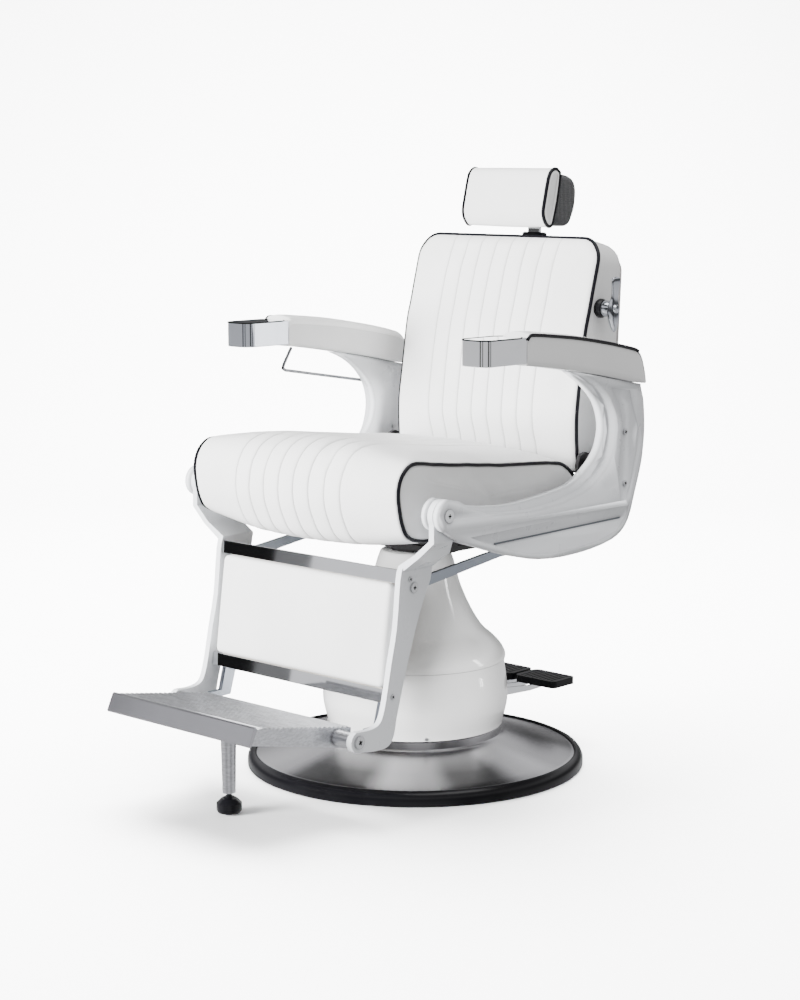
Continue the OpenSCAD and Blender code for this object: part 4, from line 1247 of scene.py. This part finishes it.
def merge_flats(obj):
    weld = obj.modifiers.new("weld", "WELD")
    weld.merge_threshold = 2e-5
    flat = obj.modifiers.new("flat", "DECIMATE")
    flat.decimate_type = "DISSOLVE"
    flat.angle_limit = math.radians(0.6)
    flat.delimit = {"MATERIAL"}
    if abs(growth(obj)) > 0.002:
        obj.modifiers.remove(flat)


def bevel_edges(name, obj, width):
    bevel = obj.modifiers.new("bevel", "BEVEL")
    bevel.segments = 3 if width > 1 else 2
    bevel.limit_method = "ANGLE"
    bevel.angle_limit = math.radians(32)
    bevel.harden_normals = True
    bevel.use_clamp_overlap = not name.startswith("side_frame")
    # a bevel wider than the faces beside it folds them over: narrow it until the skin is whole
    for factor in (1.0, 0.6, 0.4, 0.25):
        bevel.width = width * factor * MM
        if growth(obj) < 0.004:
            break
    else:
        obj.modifiers.remove(bevel)


for name, obj in PARTS.items():
    dress(name, obj)
    if obj.hide_render:
        continue
    merge_flats(obj)
    width = BEVEL_WIDTH.get(name, DEFAULT_BEVEL)
    if width:
        bevel_edges(name, obj, width)

# ------------------------------------------------------------------ floor, in metres
CAMERA_AT = Vector((2.8394, -3.0448, 1.1452))
VIEW_TURN = math.radians(43)                      # about Z, from looking along +Y


def build_floor():
    """A floor that sweeps up into a wall behind the chair."""
    s = new_material("floor_sweep")
    s.surface({"Base Color": (0.92, 0.92, 0.92), "Roughness": 0.6})
    MATERIAL["floor_sweep"] = s.material
    bend, start = 2.0, 3.2
    sweep = [(-5.0, 0.0), (start, 0.0)]           # distance along the view, height
    sweep += [(start + bend * math.sin(a), bend - bend * math.cos(a))
              for a in np.linspace(0.1, math.pi / 2, 14)]
    sweep.append((start + bend, 7.0))
    forward = Vector((-math.sin(VIEW_TURN), math.cos(VIEW_TURN), 0))
    right = Vector((math.cos(VIEW_TURN), math.sin(VIEW_TURN), 0))
    verts = []
    for distance, z in sweep:
        for w in (-7.0, 7.0):
            point = forward * distance + right * w
            verts.append((point.x, point.y, z))
    floor = make("studio_floor", verts, grid_faces(len(sweep), 2), "floor_sweep", unit=1.0)
    floor.visible_glossy = False
    floor.visible_diffuse = False
    return floor


floor = build_floor()

# ------------------------------------------------------------------ world
# Brightness seen in reflections, by the height of the direction (-1 to 1)
SKY = [(-0.5, 0.60), (-0.16, 0.66), (-0.05, 0.50), (0.01, 0.06), (0.16, 0.10), (0.24, 0.30),
       (0.34, 0.85), (0.52, 0.85), (0.60, 0.22), (0.80, 0.10)]
# Dark gaps between the bright areas: degrees about Z, half width in degrees
GAPS = [(-88, 5), (-66, 3), (-12, 6), (8, 3)]


def build_world():
    """Even white light, but bands and gaps for reflections."""
    world = bpy.data.worlds.new("studio")
    bpy.context.scene.world = world
    world.use_nodes = True
    s = Nodes(world.node_tree)
    x, y, z = s.split(s.node("TexCoord").outputs["Generated"])
    stops = [(0.0, (0.5, 0.5, 0.5))]
    stops += [((h + 1) / 2, (k, k, k * 1.02)) for h, k in SKY]
    stops.append((1.0, (0.16, 0.16, 0.17)))
    sky = s.ramp(s.remap(z, over=(-1, 1)), stops)
    turn = s.calc("ARCTAN2", y, x)
    gaps = None
    for degrees, half in GAPS:
        away = s.calc("ABSOLUTE", s.calc("SUBTRACT", turn, math.radians(degrees)))
        gap = s.remap(away, to=(0.12, 1.0), over=(math.radians(half), math.radians(half + 2.5)))
        gaps = gap if gaps is None else s.calc("MULTIPLY", gaps, gap)
    # the gaps close higher up
    gaps = s.calc("MAXIMUM", gaps, s.remap(z, over=(0.25, 0.35)))
    cut = s.node("VectorMath", {0: sky, "Scale": gaps}, operation="SCALE").outputs[0]
    mirrored = s.tree.nodes["Background"]
    s.feed(mirrored.inputs[0], cut)
    s.feed(mirrored.inputs[1], 1.45)
    even = s.node("Background", {0: (1.0, 1.0, 1.0), 1: 0.80})
    mixed = s.node("MixShader", {0: s.node("LightPath").outputs["Is Glossy Ray"],
                                 1: even.outputs[0], 2: mirrored.outputs[0]})
    s.feed(s.tree.nodes["World Output"].inputs[0], mixed.outputs[0])


build_world()


# ------------------------------------------------------------------ lights
def area_light(name, at, target, size, power, size_y=None, glossy=True):
    light = bpy.data.lights.new(name, "AREA")
    light.shape = "RECTANGLE"
    light.size = size
    light.size_y = size_y or size
    light.energy = power
    obj = bpy.data.objects.new(name, light)
    bpy.context.scene.collection.objects.link(obj)
    obj.location = at
    obj.rotation_euler = (Vector(target) - Vector(at)).to_track_quat("-Z", "Y").to_euler()
    obj.visible_glossy = glossy
    return obj


def light_only(light, name, objects):
    """Links the light to these objects alone."""
    receivers = bpy.data.collections.new(name)
    for obj in objects:
        receivers.objects.link(obj)
    light.light_linking.receiver_collection = receivers


area_light("key", (-1.6, -4.3, 1.35), (0, 0, 0.6), size=2.0, power=1000, glossy=False)
area_light("top", (0.75, -0.1, 3.4), (0, 0, 0.4), size=2.4, power=80)
area_light("rim", (-2.6, 2.4, 2.2), (0, 0, 0.8), size=1.6, power=70, glossy=False)
# fill and a tall bright strip for the column covers alone
column_fill = area_light("column_fill", (1.2, -3.2, 0.7), (0, 0, 0.3), size=1.4, power=320,
                         glossy=False)
column_streak = area_light("column_streak", (1.9, 1.7, 0.9), (0, 0, 0.3), size=0.25,
                           power=26, size_y=1.6)
for light in (column_fill, column_streak):
    light_only(light, light.name + "_receivers", (PARTS["bell_cover"], PARTS["pump_housing"]))
floor_wash = area_light("floor_wash", (-1.6, 1.6, 4.5), (-1.2, 1.4, 0), size=5.0, power=3400)
light_only(floor_wash, "wash_receivers", (floor,))


# ------------------------------------------------------------------ studio flags
def flag(name, p, q, grey):
    """An upright sheet between two places that only reflections see."""
    s = new_material(name, "Emission")
    s.surface({0: (grey, grey, grey * 1.03)})
    MATERIAL[name] = s.material
    low, high = 0.1, 0.60
    verts = [(p.x, p.y, low), (q.x, q.y, low), (q.x, q.y, high), (p.x, p.y, high)]
    obj = make(name, verts, [(0, 1, 2, 3)], name, unit=1.0)
    obj.visible_camera = obj.visible_diffuse = obj.visible_shadow = False


def mirrored_place(x):
    """What the camera sees, 1 m away, mirrored at x in the leaning front of the leg rest."""
    point = Vector((x, -0.29, 0.42))
    sight = (point - CAMERA_AT).normalized()
    normal = Vector((0, -0.991, 0.133)).normalized()
    return point + (sight - 2 * sight.dot(normal) * normal) * 1.0


first, second, third = (mirrored_place(x) for x in (-0.25, -0.085, 0.01))
along = (first - third).normalized()
flag("flag_dark", first + along * 0.5, second, grey=0.012)
flag("flag_mid", second, third, grey=0.20)
flag("flag_light", third, third - along * 0.7, grey=0.95)

# ------------------------------------------------------------------ camera
lens = bpy.data.cameras.new("camera")
lens.lens = 80.586
lens.sensor_width = 36
lens.shift_x = -0.01533
camera = bpy.data.objects.new("camera", lens)
bpy.context.scene.collection.objects.link(camera)
camera.location = CAMERA_AT
camera.rotation_euler = (math.radians(90 - 8.756), 0, VIEW_TURN)
bpy.context.scene.camera = camera

bpy.context.view_layer.update()
